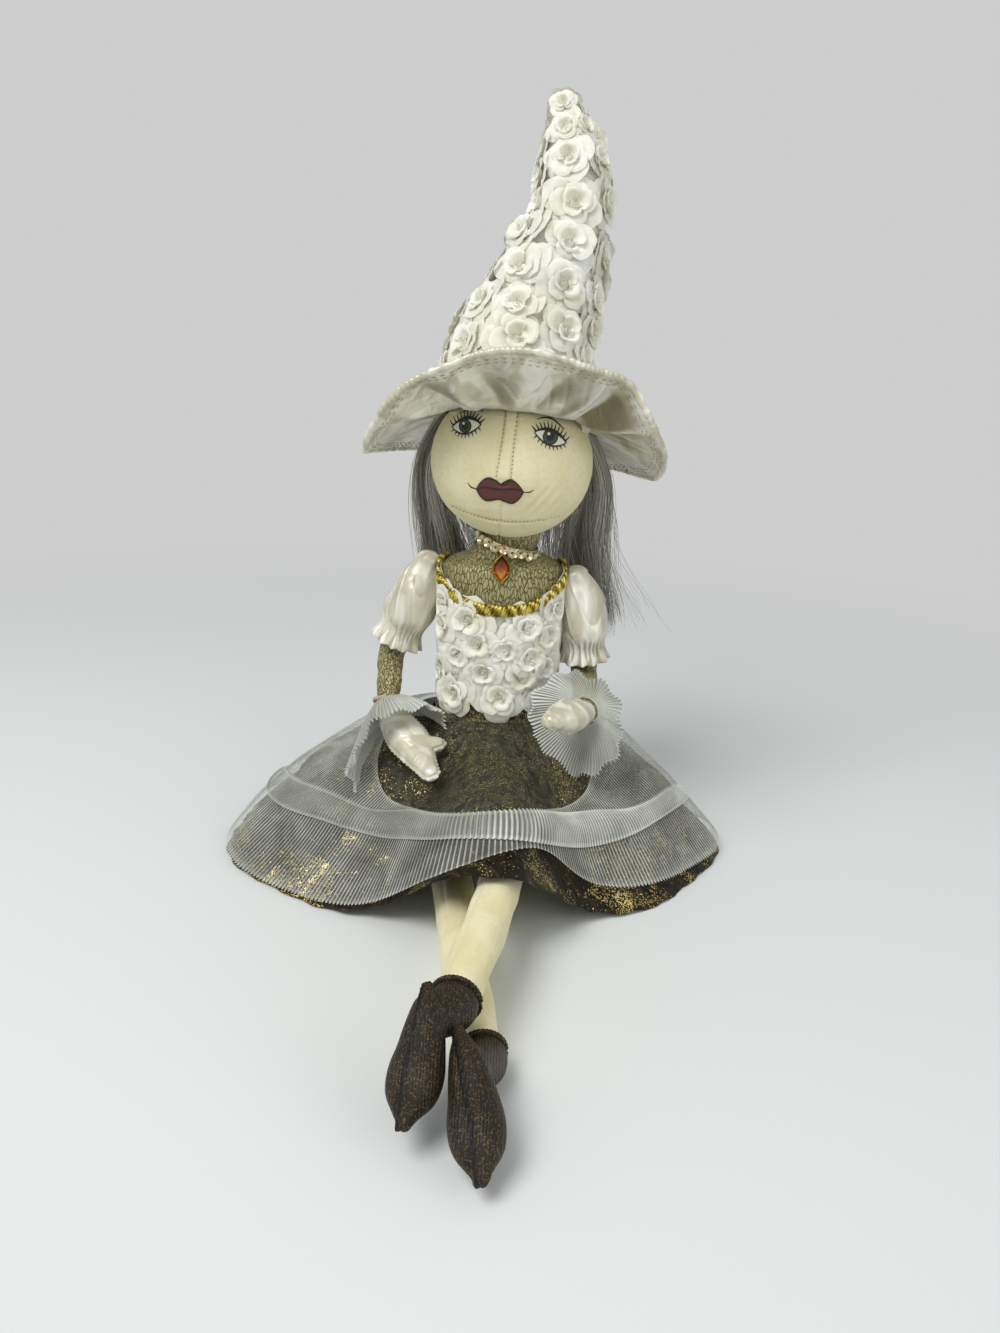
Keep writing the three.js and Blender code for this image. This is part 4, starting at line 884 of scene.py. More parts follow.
def ruching(angle, v):
    """The casing's radius, drawn in by its gathers."""
    gather = (1 + 0.13 * np.sin(150 * angle + 7 * np.sin(11 * angle))
              + 0.07 * np.sin(61 * angle + 3 * np.sin(7 * angle)))
    return 2.2 * gather * (0 * v + 1)


bm = bmesh.new()
ring_tube(bm, lambda a: brim_place(a, 1), ruching, 900, 10)
casing = keep(bm, "brim_casing", satin)
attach(casing, "head_and_hat")
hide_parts("brim_wire")

# Cotton thread: two plies in light tan, matt. The twist of 0.4 mm is left as a fine roughness, which is all that
# shows of it.
thread, tree, surface, where = cloth("cotton_thread", 0.7)
feed(surface, {"Base Color": linear("#b7ab88")})
twist = add(tree, "ShaderNodeTexNoise", {"Vector": where["Object"], "Scale": 2500, "Detail": 1.0})
relief = add(tree, "ShaderNodeBump", {"Height": twist.outputs["Fac"], "Strength": 0.4, "Distance": 0.0002})
feed(surface, {"Normal": relief})


def sewn_row(bm, surface_place, way_out, count, length, radius=0.34):
    """Short stitches on a surface: count of them, each a low arch that goes in at both ends."""
    for k in range(count):
        def stitch(u, v):
            middle = surface_place(k + length * (u - 0.5))
            out = way_out(k + length * (u - 0.5))
            along = unit(surface_place(k + length * (u - 0.5) + 0.02) - middle)
            high = radius * (1.6 * np.sin(np.pi * u) - 0.6)
            return round_about(middle + out * high[:, None], np.cross(out, along), out, 2 * np.pi * v,
                               radius * (0.35 + 0.65 * np.sin(np.pi * u)))
        patch(bm, 4, 4, stitch)


bm = bmesh.new()
STITCHES_ROUND = 120
for row_t in (0.865, 0.915):
    for side in (1, -1):
        def row_place(k):
            a = 2 * np.pi * np.asarray(k) / STITCHES_ROUND
            t = row_t + 0 * a
            return brim_place(a, t) + facing(brim_place, a, t) * (brim_folds(a, t) + 1.2 * side)[:, None]

        def row_out(k):
            a = 2 * np.pi * np.asarray(k) / STITCHES_ROUND
            return facing(brim_place, a, row_t + 0 * a) * side
        sewn_row(bm, row_place, row_out, STITCHES_ROUND, 0.6)
brim_stitches = keep(bm, "brim_stitches", thread)
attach(brim_stitches, "head_and_hat")


# Torso and neck: a stuffed trunk with a flat seat, and a column neck, both in olive-gold crinkled lame. Only
# the chest, shoulders and neck show; the rest is under the clothes.
def height_curve(pairs):
    """A smooth value over height through [height, value] pairs."""
    table = np.array([value_at(pairs, z) for z in np.arange(0, 260, 0.5)])
    return lambda z: np.interp(z, np.arange(0, 260, 0.5), table)


TRUNK_MIDDLE = 6.5  # where the middle of the chest lies, to the doll's left of the seat's
half_width = height_curve([(0, 58), (34, 64), (112, 43), (172, 45.5), (210, 45), (218.4, 32.4), (222, 18)])
half_depth = height_curve([(0, 44), (34, 49), (112, 31), (172, 31), (210, 26), (218.4, 17.68), (222, 14)])
middle_line = height_curve([(0, 0), (112, TRUNK_MIDDLE), (210, TRUNK_MIDDLE), (240, 13.5)])


def on_body(angle, z, grow=0.0):
    """A place on the trunk's skin at an angle round it and a height, moved out by grow."""
    z = np.asarray(z, float)
    return stacked(middle_line(z) + (half_width(z) + grow) * np.cos(angle), (half_depth(z) + grow) * np.sin(angle), z)


def between_arms(points, room=46.3):
    """Keeps cloth on the trunk between the two planes that the arms swing outside."""
    points[:, 0] = np.clip(points[:, 0], TRUNK_MIDDLE - room, TRUNK_MIDDLE + room)
    return points


def crinkle(points):
    """Long upright creases with short cross links, from -1 to 1."""
    x, y, z = points[:, 0], points[:, 1], points[:, 2]
    turn = x * 1.2 + y * 1.3
    return (0.5 * np.sin(turn * 0.95 + 1.6 * np.sin(z * 0.11 + turn * 0.2))
            + 0.3 * np.sin(turn * 1.9 + 2.2 * np.sin(z * 0.17 + 2)) + 0.2 * np.sin(z * 0.7 + 2 * np.sin(turn)))


def trunk_skin(u, v):
    """The trunk's crinkled skin, with a flat seat below and closed inside the neck."""
    angle = 2 * np.pi * u
    z = np.interp(v, [0, 0.08, 0.9, 1], [0, 0, 216, 222])
    points = on_body(angle, z, -0.2) * np.clip(v / 0.08, 0, 1)[:, None]
    top = np.clip((v - 0.97) / 0.03, 0, 1)[:, None]
    points = points * (1 - top) + np.array([TRUNK_MIDDLE, 0, 222.0]) * top
    points[:, :2] += (np.stack([np.cos(angle), np.sin(angle)], 1) * 0.35
                      * (crinkle(points) * (points[:, 2] > 4) * (1 - top[:, 0]))[:, None])
    return between_arms(points, 46.6)


# Crinkled lame: thin knit with a flat gold yarn, pleated by heat into a net of fine upright creases, one cell about 2
# x 8 mm. Its colour paints a pale gold glint on the ridges and shade, almost black, in the creases between them.
crinkle_lame, tree, surface, where = cloth("crinkle_lame_gold", 0.5, metallic=0.2)
wander = add(tree, "ShaderNodeTexNoise", {"Vector": where["Object"], "Scale": 90, "Detail": 2.0})
drifted = add(tree, "ShaderNodeVectorMath", {0: wander.outputs["Color"], 1: (0.004, 0.004, 0.006)},
              operation="MULTIPLY")
moved = add(tree, "ShaderNodeVectorMath", {0: where["Object"], 1: drifted}, operation="ADD")
drawn = add(tree, "ShaderNodeMapping", {"Vector": moved, "Scale": (1, 1, 0.27)})
cells = add(tree, "ShaderNodeTexVoronoi", {"Vector": drawn, "Scale": 1000 / 2.1},
            feature="DISTANCE_TO_EDGE")
crease = add(tree, "ShaderNodeMapRange", {"Value": cells.outputs["Distance"], "From Max": 0.12})
# Painted shade and glint: almost black in the creases, pale gold on the ridges.
lame_tone_and_shade = add(tree, "ShaderNodeValToRGB", {"Fac": crease})
lame_tone_and_shade.color_ramp.elements[0].color = linear("#3a3520")
lame_tone_and_shade.color_ramp.elements[1].color = linear("#a39c6e")
mid_tone = lame_tone_and_shade.color_ramp.elements.new(0.4)
mid_tone.color = linear("#8b8456")
feed(surface, {"Base Color": lame_tone_and_shade.outputs["Color"]})
knit = add(tree, "ShaderNodeTexNoise", {"Vector": where["Object"], "Scale": 1500, "Detail": 1.0})
relief = add(tree, "ShaderNodeBump", {"Height": crease, "Strength": 0.8, "Distance": 0.0009})
relief = add(tree, "ShaderNodeBump", {"Height": knit.outputs["Fac"], "Strength": 0.25, "Distance": 0.0002,
                                      "Normal": relief})
feed(surface, {"Normal": relief})

bm = bmesh.new()
patch(bm, 160, 150, trunk_skin)
torso = keep(bm, "torso_cloth", crinkle_lame)
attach(torso, "trunk")
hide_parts("torso_body")


def neck_folds(angle, v, t):
    """Upright creases where the neck's cloth is drawn together."""
    return 0.35 * np.sin(14 * angle + 3 * np.sin(9 * t)) + 0.2 * np.sin(25 * angle + 11 * t)


bm = bmesh.new()
patch(bm, 96, 60, limb([(6.5, 0, 214), (10, -1, 227), (13.5, -2, 240)], [25, 20, 20, 20], [20, 20, 20, 20],
                       ends=(0, 1), more=neck_folds))
neck = keep(bm, "neck_cloth", crinkle_lame)
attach(neck, "trunk")
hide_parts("neck")


# Bodice: a fitted shell of white netting with chiffon roses sewn all over it, low in front and high at the
# shoulders, tacked to the trunk along its upper edge.
def neckline(angle):
    """The height of the bodice's upper edge round the trunk."""
    side = np.abs(np.cos(angle)) ** 2.6
    dip = np.where(np.sin(angle) < 0, 29, 11.6)
    return 214 - dip * (1 - side)


def bodice_skin(u, v):
    """The netting from the neckline down to the waist, slightly puckered."""
    angle = 2 * np.pi * u
    z = neckline(angle) + (113 - neckline(angle)) * v
    points = on_body(angle, z, 2.2 + 0.4 * np.sin(9 * angle + 0.1 * z) * np.sin(0.2 * z))
    return between_arms(points)


bm = bmesh.new()
patch(bm, 150, 48, bodice_skin, outside_in=True)
bmesh.ops.remove_doubles(bm, verts=bm.verts, dist=2e-6)
bodice_shape = BVHTree.FromBMesh(bm)
bm.normal_update()
bodice_spots = [(v.co.copy(), v.normal.copy()) for v in bm.verts]
bodice = keep(bm, "bodice_netting", netting)
layers = bodice.modifiers.new("two_layers", "SOLIDIFY")
layers.thickness = 0.0012
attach(bodice, "trunk")
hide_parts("bodice")


MIDDLE_X = TRUNK_MIDDLE / 1000


def bodice_rose_size(point):
    """Roses leave the arms, the waistband and the braid free."""
    if abs(point.x - MIDDLE_X) > 0.041 or point.z < 0.119:
        return 0
    angle = math.atan2(point.y / 31, (point.x - MIDDLE_X) / 45)
    return 0 if point.z > float(neckline(angle)) / 1000 - 0.015 else 0.86


bodice_picture = [(431, 603), (469, 620), (460, 655), (504, 651), (544, 632), (544, 665), (456, 692), (498, 697),
                  (540, 697), (435, 626)]
bodice_roses = rose_bed("bodice_roses", bodice_shape, bodice_spots, bodice_picture, 0.0235, bodice_rose_size, 8)
for vert in bodice_roses.data.vertices:  # the arms press the outermost petals flat
    off = vert.co.x - MIDDLE_X
    if abs(off) > 0.04:
        vert.co.x = MIDDLE_X + math.copysign(0.04 + 0.006 * math.tanh((abs(off) - 0.04) / 0.006), off)
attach(bodice_roses, "trunk")


# Neckline braid: 8 mm gold gimp, sewn along the bodice's upper edge. Two shiny cords loop over a straight one in
# scallops, and a thinner one winds on top. Their plait of 0.8 mm is too fine to show and is drawn as 5 mm waves, with
# painted shade in the grooves and a painted highlight on the twists.
gold_cord, tree, surface, where = cloth("gold_gimp_cord", 0.42, metallic=0.75)
plait = add(tree, "ShaderNodeTexWave", {"Vector": where["Object"], "Scale": 62.5,
                                        "Distortion": 6.0, "Detail": 2.0}, bands_direction="DIAGONAL")
# Painted shade and highlight: dark gold in the plait's grooves, pale gold on its twists.
cord_painted_shade = add(tree, "ShaderNodeMix", {"Factor": plait.outputs["Fac"], 6: linear("#776519"), 7: linear("#ddcb66")},
                data_type="RGBA")
feed(surface, {"Base Color": cord_painted_shade.outputs[2]})
relief = add(tree, "ShaderNodeBump", {"Height": plait.outputs["Fac"], "Strength": 0.6, "Distance": 0.0004})
feed(surface, {"Normal": relief})
braid_shape = bmesh.new()
for phase, swing, rise, cord_radius in ((0, 3.3, 0.6, 1.25), (math.pi, 3.3, 0.6, 1.25), (0, 0.0, 0.4, 1.2),
                                        (math.pi / 2, 2.2, 1.4, 0.8)):
    def cord_line(angle, phase=phase, swing=swing, rise=rise):
        wave = 56 * angle + phase
        z = neckline(angle) + swing * np.sin(wave)
        return on_body(angle, z, 5.2 + rise + 0.9 * np.cos(wave) * (swing > 0))
    for vert in ring_tube(braid_shape, cord_line, cord_radius, 720, 6):
        vert.co.x = min(max(vert.co.x, MIDDLE_X - 0.0464), MIDDLE_X + 0.0464)
braid = keep(braid_shape, "neckline_braid", gold_cord)
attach(braid, "trunk")
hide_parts("neckline_trim")


# Waistband: a tape 10 mm wide, cut from the overlay's dark cloth and sewn round the trunk. The last roses and the
# gathers of the skirt hide most of it.

# Dark gauze: thin olive-black polyester, crinkled by heat into creases 5 to 6 mm apart. Gold glitter of 0.6 mm
# lies on it in drifts of 17 mm, so it sparkles in some places and is dull in others.
glitter_crinkle, tree, surface, where = cloth("glitter_crinkle", 0.6, metallic=0.1)
gathered_way = add(tree, "ShaderNodeMapping", {"Vector": where["Object"], "Scale": (1, 1, 0.3)})
folded = add(tree, "ShaderNodeTexNoise", {"Vector": gathered_way, "Scale": 210, "Detail": 4.0,
                                          "Distortion": 1.0})
creased = add(tree, "ShaderNodeTexVoronoi", {"Vector": where["Object"], "Scale": 1000 / 6.0},
              feature="DISTANCE_TO_EDGE")
dark_tone = add(tree, "ShaderNodeValToRGB", {"Fac": folded.outputs["Fac"]})
dark_tone.color_ramp.elements[0].position, dark_tone.color_ramp.elements[1].position = 0.35, 0.7
dark_tone.color_ramp.elements[0].color = linear("#1d1b10")
dark_tone.color_ramp.elements[1].color = linear("#4d4933")
upright = add(tree, "ShaderNodeMapping", {"Vector": where["Object"], "Scale": (1, 1, 0.4)})
grains = add(tree, "ShaderNodeTexVoronoi", {"Vector": upright, "Scale": 1000 / 0.6})
drifts = add(tree, "ShaderNodeTexNoise", {"Vector": where["Object"], "Scale": 60, "Detail": 3.0})
dusted = add(tree, "ShaderNodeMapRange", {"Value": drifts.outputs["Fac"], "From Min": 0.42, "From Max": 0.7,
                                          "To Min": 0.02, "To Max": 0.26})
picked = add(tree, "ShaderNodeSeparateColor", {"Color": grains.outputs["Color"]})
speck = add(tree, "ShaderNodeMath", {0: picked, 1: dusted}, operation="LESS_THAN")
speck_tone = add(tree, "ShaderNodeMix", {"Factor": speck, 6: dark_tone.outputs["Color"],
                                         7: linear("#b9a766")}, data_type="RGBA")
feed(surface, {"Base Color": speck_tone.outputs[2]})
shiny = add(tree, "ShaderNodeMapRange", {"Value": speck, "To Min": 0.05, "To Max": 0.85})
feed(surface, {"Metallic": shiny})
gloss = add(tree, "ShaderNodeMapRange", {"Value": speck, "To Min": 0.65, "To Max": 0.3})
feed(surface, {"Roughness": gloss})
relief = add(tree, "ShaderNodeBump", {"Height": creased.outputs["Distance"], "Strength": 0.6, "Distance": 0.0015})
relief = add(tree, "ShaderNodeBump", {"Height": folded.outputs["Fac"], "Strength": 0.6, "Distance": 0.0016,
                                      "Normal": relief})
relief = add(tree, "ShaderNodeBump", {"Height": picked.outputs[1], "Strength": 0.35, "Distance": 0.0005,
                                      "Normal": relief})
feed(surface, {"Normal": relief})


def band_skin(u, v):
    """The tape, slightly gathered between its two edges."""
    angle = 2 * np.pi * u
    z = 113.3 - 9.3 * v
    return on_body(angle, z, 1.3 + 0.25 * np.sin(60 * angle) * arch(v))


bm = bmesh.new()
patch(bm, 200, 4, band_skin, outside_in=True)
waistband = keep(bm, "waistband_tape", glitter_crinkle)
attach(waistband, "trunk")
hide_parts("waistband")


# Skirt: three gathered layers that hang from the waist and spread on the board. Undermost is gold and brown
# lame foil cloth; its hem rests on the board and rises over the legs in front.
def over_legs(angle, wide=20):
    """1 where the skirt lies over the legs, and falling to both sides within wide degrees."""
    return bump(np.arctan2(np.cos(angle) - 0.06, -np.sin(angle)), math.radians(wide))


SKIRT_TOP = 97.8


def skirt_place(angle, t):
    """A place on the innermost skin of the skirt: t is 0 at the waist and 1 at the hem."""
    top = on_body(angle, SKIRT_TOP + 0 * t, 1.0)
    forward = np.where(np.sin(angle) < 0, 138, 84)
    square = 2.3 - 0.3 * np.cos(angle)
    hem = ((np.abs(np.cos(angle)) / 184) ** square + (np.abs(np.sin(angle)) / forward) ** square) ** (-1 / square)
    hem = hem + 45 * over_legs(angle) + 3 * t * np.cos(9 * angle + 0.5)
    low = 60 * over_legs(angle)
    foot = stacked(-4 + hem * np.cos(angle), hem * np.sin(angle), low)
    belly = 1.45 - 0.4 * np.maximum(-np.sin(angle), 0)
    point = top + (foot - top) * t[:, None]
    point[:, 2] = low + (SKIRT_TOP - low) * (1 - np.maximum(t, 0) ** belly)
    return point


def ridge(angle, t):
    """The soft ridge where the organza folds over the lap."""
    return 5 * np.maximum(-np.sin(angle), 0) ** 0.5 * bump(t - 0.62, 0.09)


def skirt_layer(offset, reach, pleats, ridged=True, angles=(0, 2 * math.pi), start=0.0):
    """The skin of a layer that lies at offset over the innermost one and ends at reach(angle)."""
    def base(angle, t):
        point = skirt_place(angle, t)
        point[:, 2] += ridge(angle, t) if ridged else 0
        return point

    def place(u, v):
        angle = angles[0] + (angles[1] - angles[0]) * u
        begin = start(angle) if callable(start) else start
        t = begin + (reach(angle) - begin) * v
        out = facing(base, angle, t)
        lift = offset(angle, t) if callable(offset) else offset
        point = base(angle, t) + out * (lift + pleats(angle, t))[:, None]
        point[:, 2] = np.maximum(point[:, 2], 0.4)
        return point
    return place


# Gold lame: dark bronze foil cloth with a soft metal gloss. Gold glitter of 0.8 mm is stuck on it in drifts of
# about 40 mm, dense in some places and missing in others.
gold_lame, tree, surface, where = cloth("foil_lame_brown", 0.4)
bronze = add(tree, "ShaderNodeTexNoise", {"Vector": where["Object"], "Scale": 60, "Detail": 5.0,
                                          "Roughness": 0.6, "Distortion": 1.5})
bronze_tone = add(tree, "ShaderNodeValToRGB", {"Fac": bronze.outputs["Fac"]})
bronze_tone.color_ramp.elements[0].position, bronze_tone.color_ramp.elements[1].position = 0.38, 0.72
bronze_tone.color_ramp.elements[0].color = linear("#15110a")
bronze_tone.color_ramp.elements[1].color = linear("#5e4c20")
bronze_mid = bronze_tone.color_ramp.elements.new(0.55)
bronze_mid.color = linear("#2a2210")
foil_drift = add(tree, "ShaderNodeTexNoise", {"Vector": where["Object"], "Scale": 24, "Detail": 3.0,
                                              "Distortion": 1.0})
foil_share = add(tree, "ShaderNodeMapRange", {"Value": foil_drift.outputs["Fac"], "From Min": 0.5, "From Max": 0.68,
                                              "To Min": 0.02, "To Max": 0.5})
foil_grain = add(tree, "ShaderNodeTexVoronoi", {"Vector": where["Object"], "Scale": 1000 / 0.8})
foil_pick = add(tree, "ShaderNodeSeparateColor", {"Color": foil_grain.outputs["Color"]})
foil = add(tree, "ShaderNodeMath", {0: foil_pick, 1: foil_share}, operation="LESS_THAN")
foil_tone = add(tree, "ShaderNodeMix", {"Factor": foil, 6: bronze_tone.outputs["Color"],
                                        7: linear("#cdb877")}, data_type="RGBA")
feed(surface, {"Base Color": foil_tone.outputs[2]})
foil_metal = add(tree, "ShaderNodeMapRange", {"Value": foil, "To Min": 0.55, "To Max": 0.95})
feed(surface, {"Metallic": foil_metal})
foil_gloss = add(tree, "ShaderNodeMapRange", {"Value": foil, "To Min": 0.42, "To Max": 0.24})
feed(surface, {"Roughness": foil_gloss})
relief = add(tree, "ShaderNodeBump", {"Height": bronze.outputs["Fac"], "Strength": 0.8, "Distance": 0.003})
relief = add(tree, "ShaderNodeBump", {"Height": foil_pick.outputs[1], "Strength": 0.35, "Distance": 0.0005,
                                      "Normal": relief})
feed(surface, {"Normal": relief})


def lame_creases(angle, t):
    """Low creases that run down from the gathers."""
    return (0.45 * np.sin(37 * angle + 5 * t + 2 * np.sin(6 * angle)) * np.clip(t * 2, 0, 1)
            + 0.3 * np.sin(83 * angle + 3 * np.sin(9 * angle + 11 * t)) * t)


bm = bmesh.new()
patch(bm, 620, 60, skirt_layer(0.7, lambda a: 1.0 + 0.004 * np.sin(41 * a), lame_creases, ridged=False),
      outside_in=True)
underskirt = keep(bm, "underskirt_lame", gold_lame)
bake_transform(underskirt)
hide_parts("underskirt")


# Flounce: a gathered strip of sheer pleated organza from the waist to the board, cut along its hem with pinking
# shears. In front its top edge is folded down over the lap.
PLEATS = 360  # round the whole skirt

# Organza: sheer stiff crystal polyester, pleated by heat at about 3 mm. The folded edges of the pleats are
# cool grey white lines, the cloth between them is mostly clear, and the pinked hem is a row of small teeth.
organza, tree, surface, where = cloth("pleated_organza", 0.45, sheen=0.4)
strip = add(tree, "ShaderNodeSeparateXYZ", {"Vector": where["UV"]})
pleat_turn = add(tree, "ShaderNodeMath", {0: strip, 1: 2 * math.pi * PLEATS}, operation="MULTIPLY")
fold_wave = add(tree, "ShaderNodeMath", {0: pleat_turn}, operation="SINE")
overlap = add(tree, "ShaderNodeMapRange", {"Value": fold_wave, "From Min": 0.2, "From Max": 0.98,
                                           "To Min": 0.2, "To Max": 0.62})
uneven = add(tree, "ShaderNodeTexNoise", {"Vector": where["Object"], "Scale": 40, "Detail": 3.0,
                                          "Distortion": 0.6})
uneven_share = add(tree, "ShaderNodeMapRange", {"Value": uneven.outputs["Fac"], "From Min": 0.3, "From Max": 0.7,
                                                "To Min": 0.7, "To Max": 1.25})
cover = add(tree, "ShaderNodeMath", {0: overlap, 1: uneven_share}, operation="MULTIPLY",
            use_clamp=True)
thick = add(tree, "ShaderNodeAttribute", attribute_name="doubled")
cover_all = add(tree, "ShaderNodeMath", {0: cover, 1: thick.outputs["Fac"]}, operation="ADD",
                use_clamp=True)
feed(surface, {"Alpha": cover_all})
sheer_tone = add(tree, "ShaderNodeMix", {"Factor": cover, 6: linear("#a3a69c"), 7: linear("#eaece2")},
                 data_type="RGBA")
feed(surface, {"Base Color": sheer_tone.outputs[2]})
voile = add(tree, "ShaderNodeTexNoise", {"Vector": where["Object"], "Scale": 1800, "Detail": 1.0})
relief = add(tree, "ShaderNodeBump", {"Height": voile.outputs["Fac"], "Strength": 0.3, "Distance": 0.0002})
feed(surface, {"Normal": relief})


def spaced(bm, share, doubled=0.0, edge=0.0):
    """Sets how many pleats the strip has, as a share of the flounce's, and how much it hides at its ends."""
    uv = bm.loops.layers.uv.verify()
    thickness = bm.verts.layers.float.new("doubled")
    for face in bm.faces:
        for loop in face.loops:
            down = loop[uv].uv.y
            near_edge = edge * max(0.0, 1 - min(down, 1 - down) / 0.05)
            loop.vert[thickness] = doubled + near_edge
            loop[uv].uv.x *= share


def organza_pleats(angle, t):
    """The pleats, flatter near the waist."""
    return 0.45 * np.sin(PLEATS * angle) * np.clip((t - 0.05) * 3, 0.15, 1)


def flounce_start(angle):
    """The flounce starts at the waist, but in front at the line where it is folded over."""
    off = np.abs(np.mod(angle + np.pi / 2 + np.pi, 2 * np.pi) - np.pi)
    return 0.03 + (fold_line(angle) - 0.02) / (1 + np.exp((off - 0.98) / 0.2))


def along_skirt(table):
    """A smooth line round the skirt from [degrees, how far down the skirt] pairs, read off the photograph."""
    spots, values = np.array(table, float).T
    steps = np.arange(-180, 180.5, 1.0)
    fine = np.interp(steps, spots, values, period=360)
    fine = np.convolve(np.concatenate([fine[-4:], fine, fine[:4]]), np.ones(9) / 9, mode="valid")
    return lambda angle: np.interp(np.mod(np.degrees(angle) + 180, 360) - 180, steps, fine)


flounce_hem = along_skirt([(-178, 0.98), (-150, 0.99), (-122, 0.99), (-112, 0.995), (-100, 1.0), (-92, 0.985),
                           (-86, 0.92), (-80, 0.835), (-74, 0.80), (-68, 0.835), (-60, 0.87), (-46, 0.895),
                           (-38, 0.915), (-30, 0.935), (-22, 0.95), (-10, 0.97), (90, 0.96)])
fold_line = along_skirt([(-178, 0.70), (-170, 0.662), (-162, 0.627), (-154, 0.609), (-142, 0.602), (-130, 0.589),
                         (-122, 0.579), (-114, 0.591), (-106, 0.621), (-98, 0.66), (-90, 0.693), (-86, 0.691),
                         (-78, 0.651), (-70, 0.606), (-62, 0.575), (-54, 0.566), (-46, 0.578), (-38, 0.603),
                         (-26, 0.618), (-14, 0.635), (-2, 0.68), (90, 0.7)])
fold_end = along_skirt([(-178, 0.80), (-170, 0.77), (-162, 0.75), (-154, 0.726), (-142, 0.693), (-130, 0.678),
                        (-122, 0.681), (-114, 0.698), (-106, 0.735), (-98, 0.80), (-90, 0.845), (-86, 0.848),
                        (-78, 0.80), (-70, 0.75), (-62, 0.718), (-54, 0.706), (-46, 0.703), (-26, 0.703),
                        (-14, 0.71), (-2, 0.75), (90, 0.8)])


def flounce_reach(angle):
    """The pinked hem: one tooth to a pleat."""
    return flounce_hem(angle) + 0.005 * np.sin(PLEATS * angle) + 0.004 * np.sin(7 * angle + 1)


def flounce_lift(angle, t):
    """How far the flounce stands off: it waves at the sides and behind, and settles towards its hem."""
    side = 1 - over_legs(angle, 34)
    waves = side * (2.4 * np.sin(5 * angle + 5 * t) + 1.3 * np.sin(11 * angle - 7 * t + 2)) * arch(t) ** 0.7
    return 7.0 + 3.0 * side * arch(t) + waves - 1.8 * np.clip((t - 0.7) / 0.3, 0, 1)


bm = bmesh.new()
patch(bm, 2880, 26, skirt_layer(flounce_lift, flounce_reach, organza_pleats, start=flounce_start), outside_in=True)
spaced(bm, 1.0, edge=0.3)
flounce = keep(bm, "organza_flounce_pleated", organza)
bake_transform(flounce)
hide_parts("organza_flounce")


# Front fold: the flounce's doubled top edge, turned over the lap as a soft, denser roll with pinked teeth, held
# by a few hidden stitches.
front = (-math.pi + 0.1, -0.1)


def fold_top(angle):
    """The fold's upper edge, with its teeth."""
    return fold_line(angle) + 0.006 * np.sin(PLEATS * angle) + 0.006 * np.sin(11 * angle + 1)


def fold_foot(angle):
    """The fold's lower edge, a soft bend."""
    return fold_end(angle) + 0.004 * np.sin(6 * angle + 2)


def fold_lift(angle, t):
    """The fold lies on the flounce and swells between its two edges."""
    across = (t - fold_line(angle)) / (fold_end(angle) - fold_line(angle))
    return flounce_lift(angle, t) + 1.2 + 2.2 * arch(across) ** 0.6


bm = bmesh.new()
patch(bm, 2100, 7, skirt_layer(fold_lift, fold_foot, organza_pleats, angles=front, start=fold_top), outside_in=True)
spaced(bm, (front[1] - front[0]) / (2 * math.pi), doubled=0.13, edge=0.5)
fold = keep(bm, "organza_front_fold", organza)
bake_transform(fold)


# Overlay: a short top skirt of the same dark gauze with gold glitter, gathered into the waist. It lies on the
# lame down to the lap, where the organza's fold covers its raw edge.
def overlay_creases(angle, t):
    """Deep creases that cross and wander, flatter at the waist."""
    return (0.55 * np.sin(19 * angle + 9 * t + 2 * np.sin(5 * angle)) + 0.35 * np.sin(47 * angle - 21 * t)
            + 0.3 * np.sin(31 * t + 3 * np.sin(7 * angle))) * np.clip(t * 4, 0.2, 1)


bm = bmesh.new()
patch(bm, 460, 52, skirt_layer(4.2, lambda a: 0.68 + 0.014 * np.sin(9 * a + 2), overlay_creases), outside_in=True)
overlay = keep(bm, "glitter_overlay_gauze", glitter_crinkle)
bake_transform(overlay)
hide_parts("glitter_overlay")


# Arms: slim tubes of the same crinkled lame, lightly stuffed, that bend at the elbow. Each goes up inside a
# puffed sleeve of champagne satin, gathered into the shoulder seam and drawn in above a small frill.
arms = {  # the arm's places; the thumb's way, where it starts and how far the palm stops short, both as shares of
    # the hand; how far the cuff flares and reaches, its strip's height in metres, its lean and its weight's pull
    "right": dict(shoulder=(-52.1, 0, 197), elbow=(-73.1, 5, 139), wrist=(-73.1, -20, 105), tip=(-35.1, -88, 82),
                  sign=-1, thumb=(16, 3, 3), root=0.6, short=0.02,
                  flare=30, length=38, strip=0.046, forward=-6, drop=(-5, 0, -12)),
    "left": dict(shoulder=(65.1, 0, 191), elbow=(71.1, 4, 132), wrist=(70.1, -50, 119), tip=(40.1, -98, 127),
                 sign=1, thumb=(-2, 2, 6), root=0.45, short=0.09,
                 flare=27, length=6, strip=0.04, forward=0, drop=(-4, 0, -9)),
}


def outside_trunk(place, sign):
    """Keeps an arm's cloth outside the plane that it swings along."""
    def kept(u, v):
        points = place(u, v)
        edge = TRUNK_MIDDLE + sign * 47.1
        points[:, 0] = np.maximum(points[:, 0], edge) if sign > 0 else np.minimum(points[:, 0], edge)
        return points
    return kept


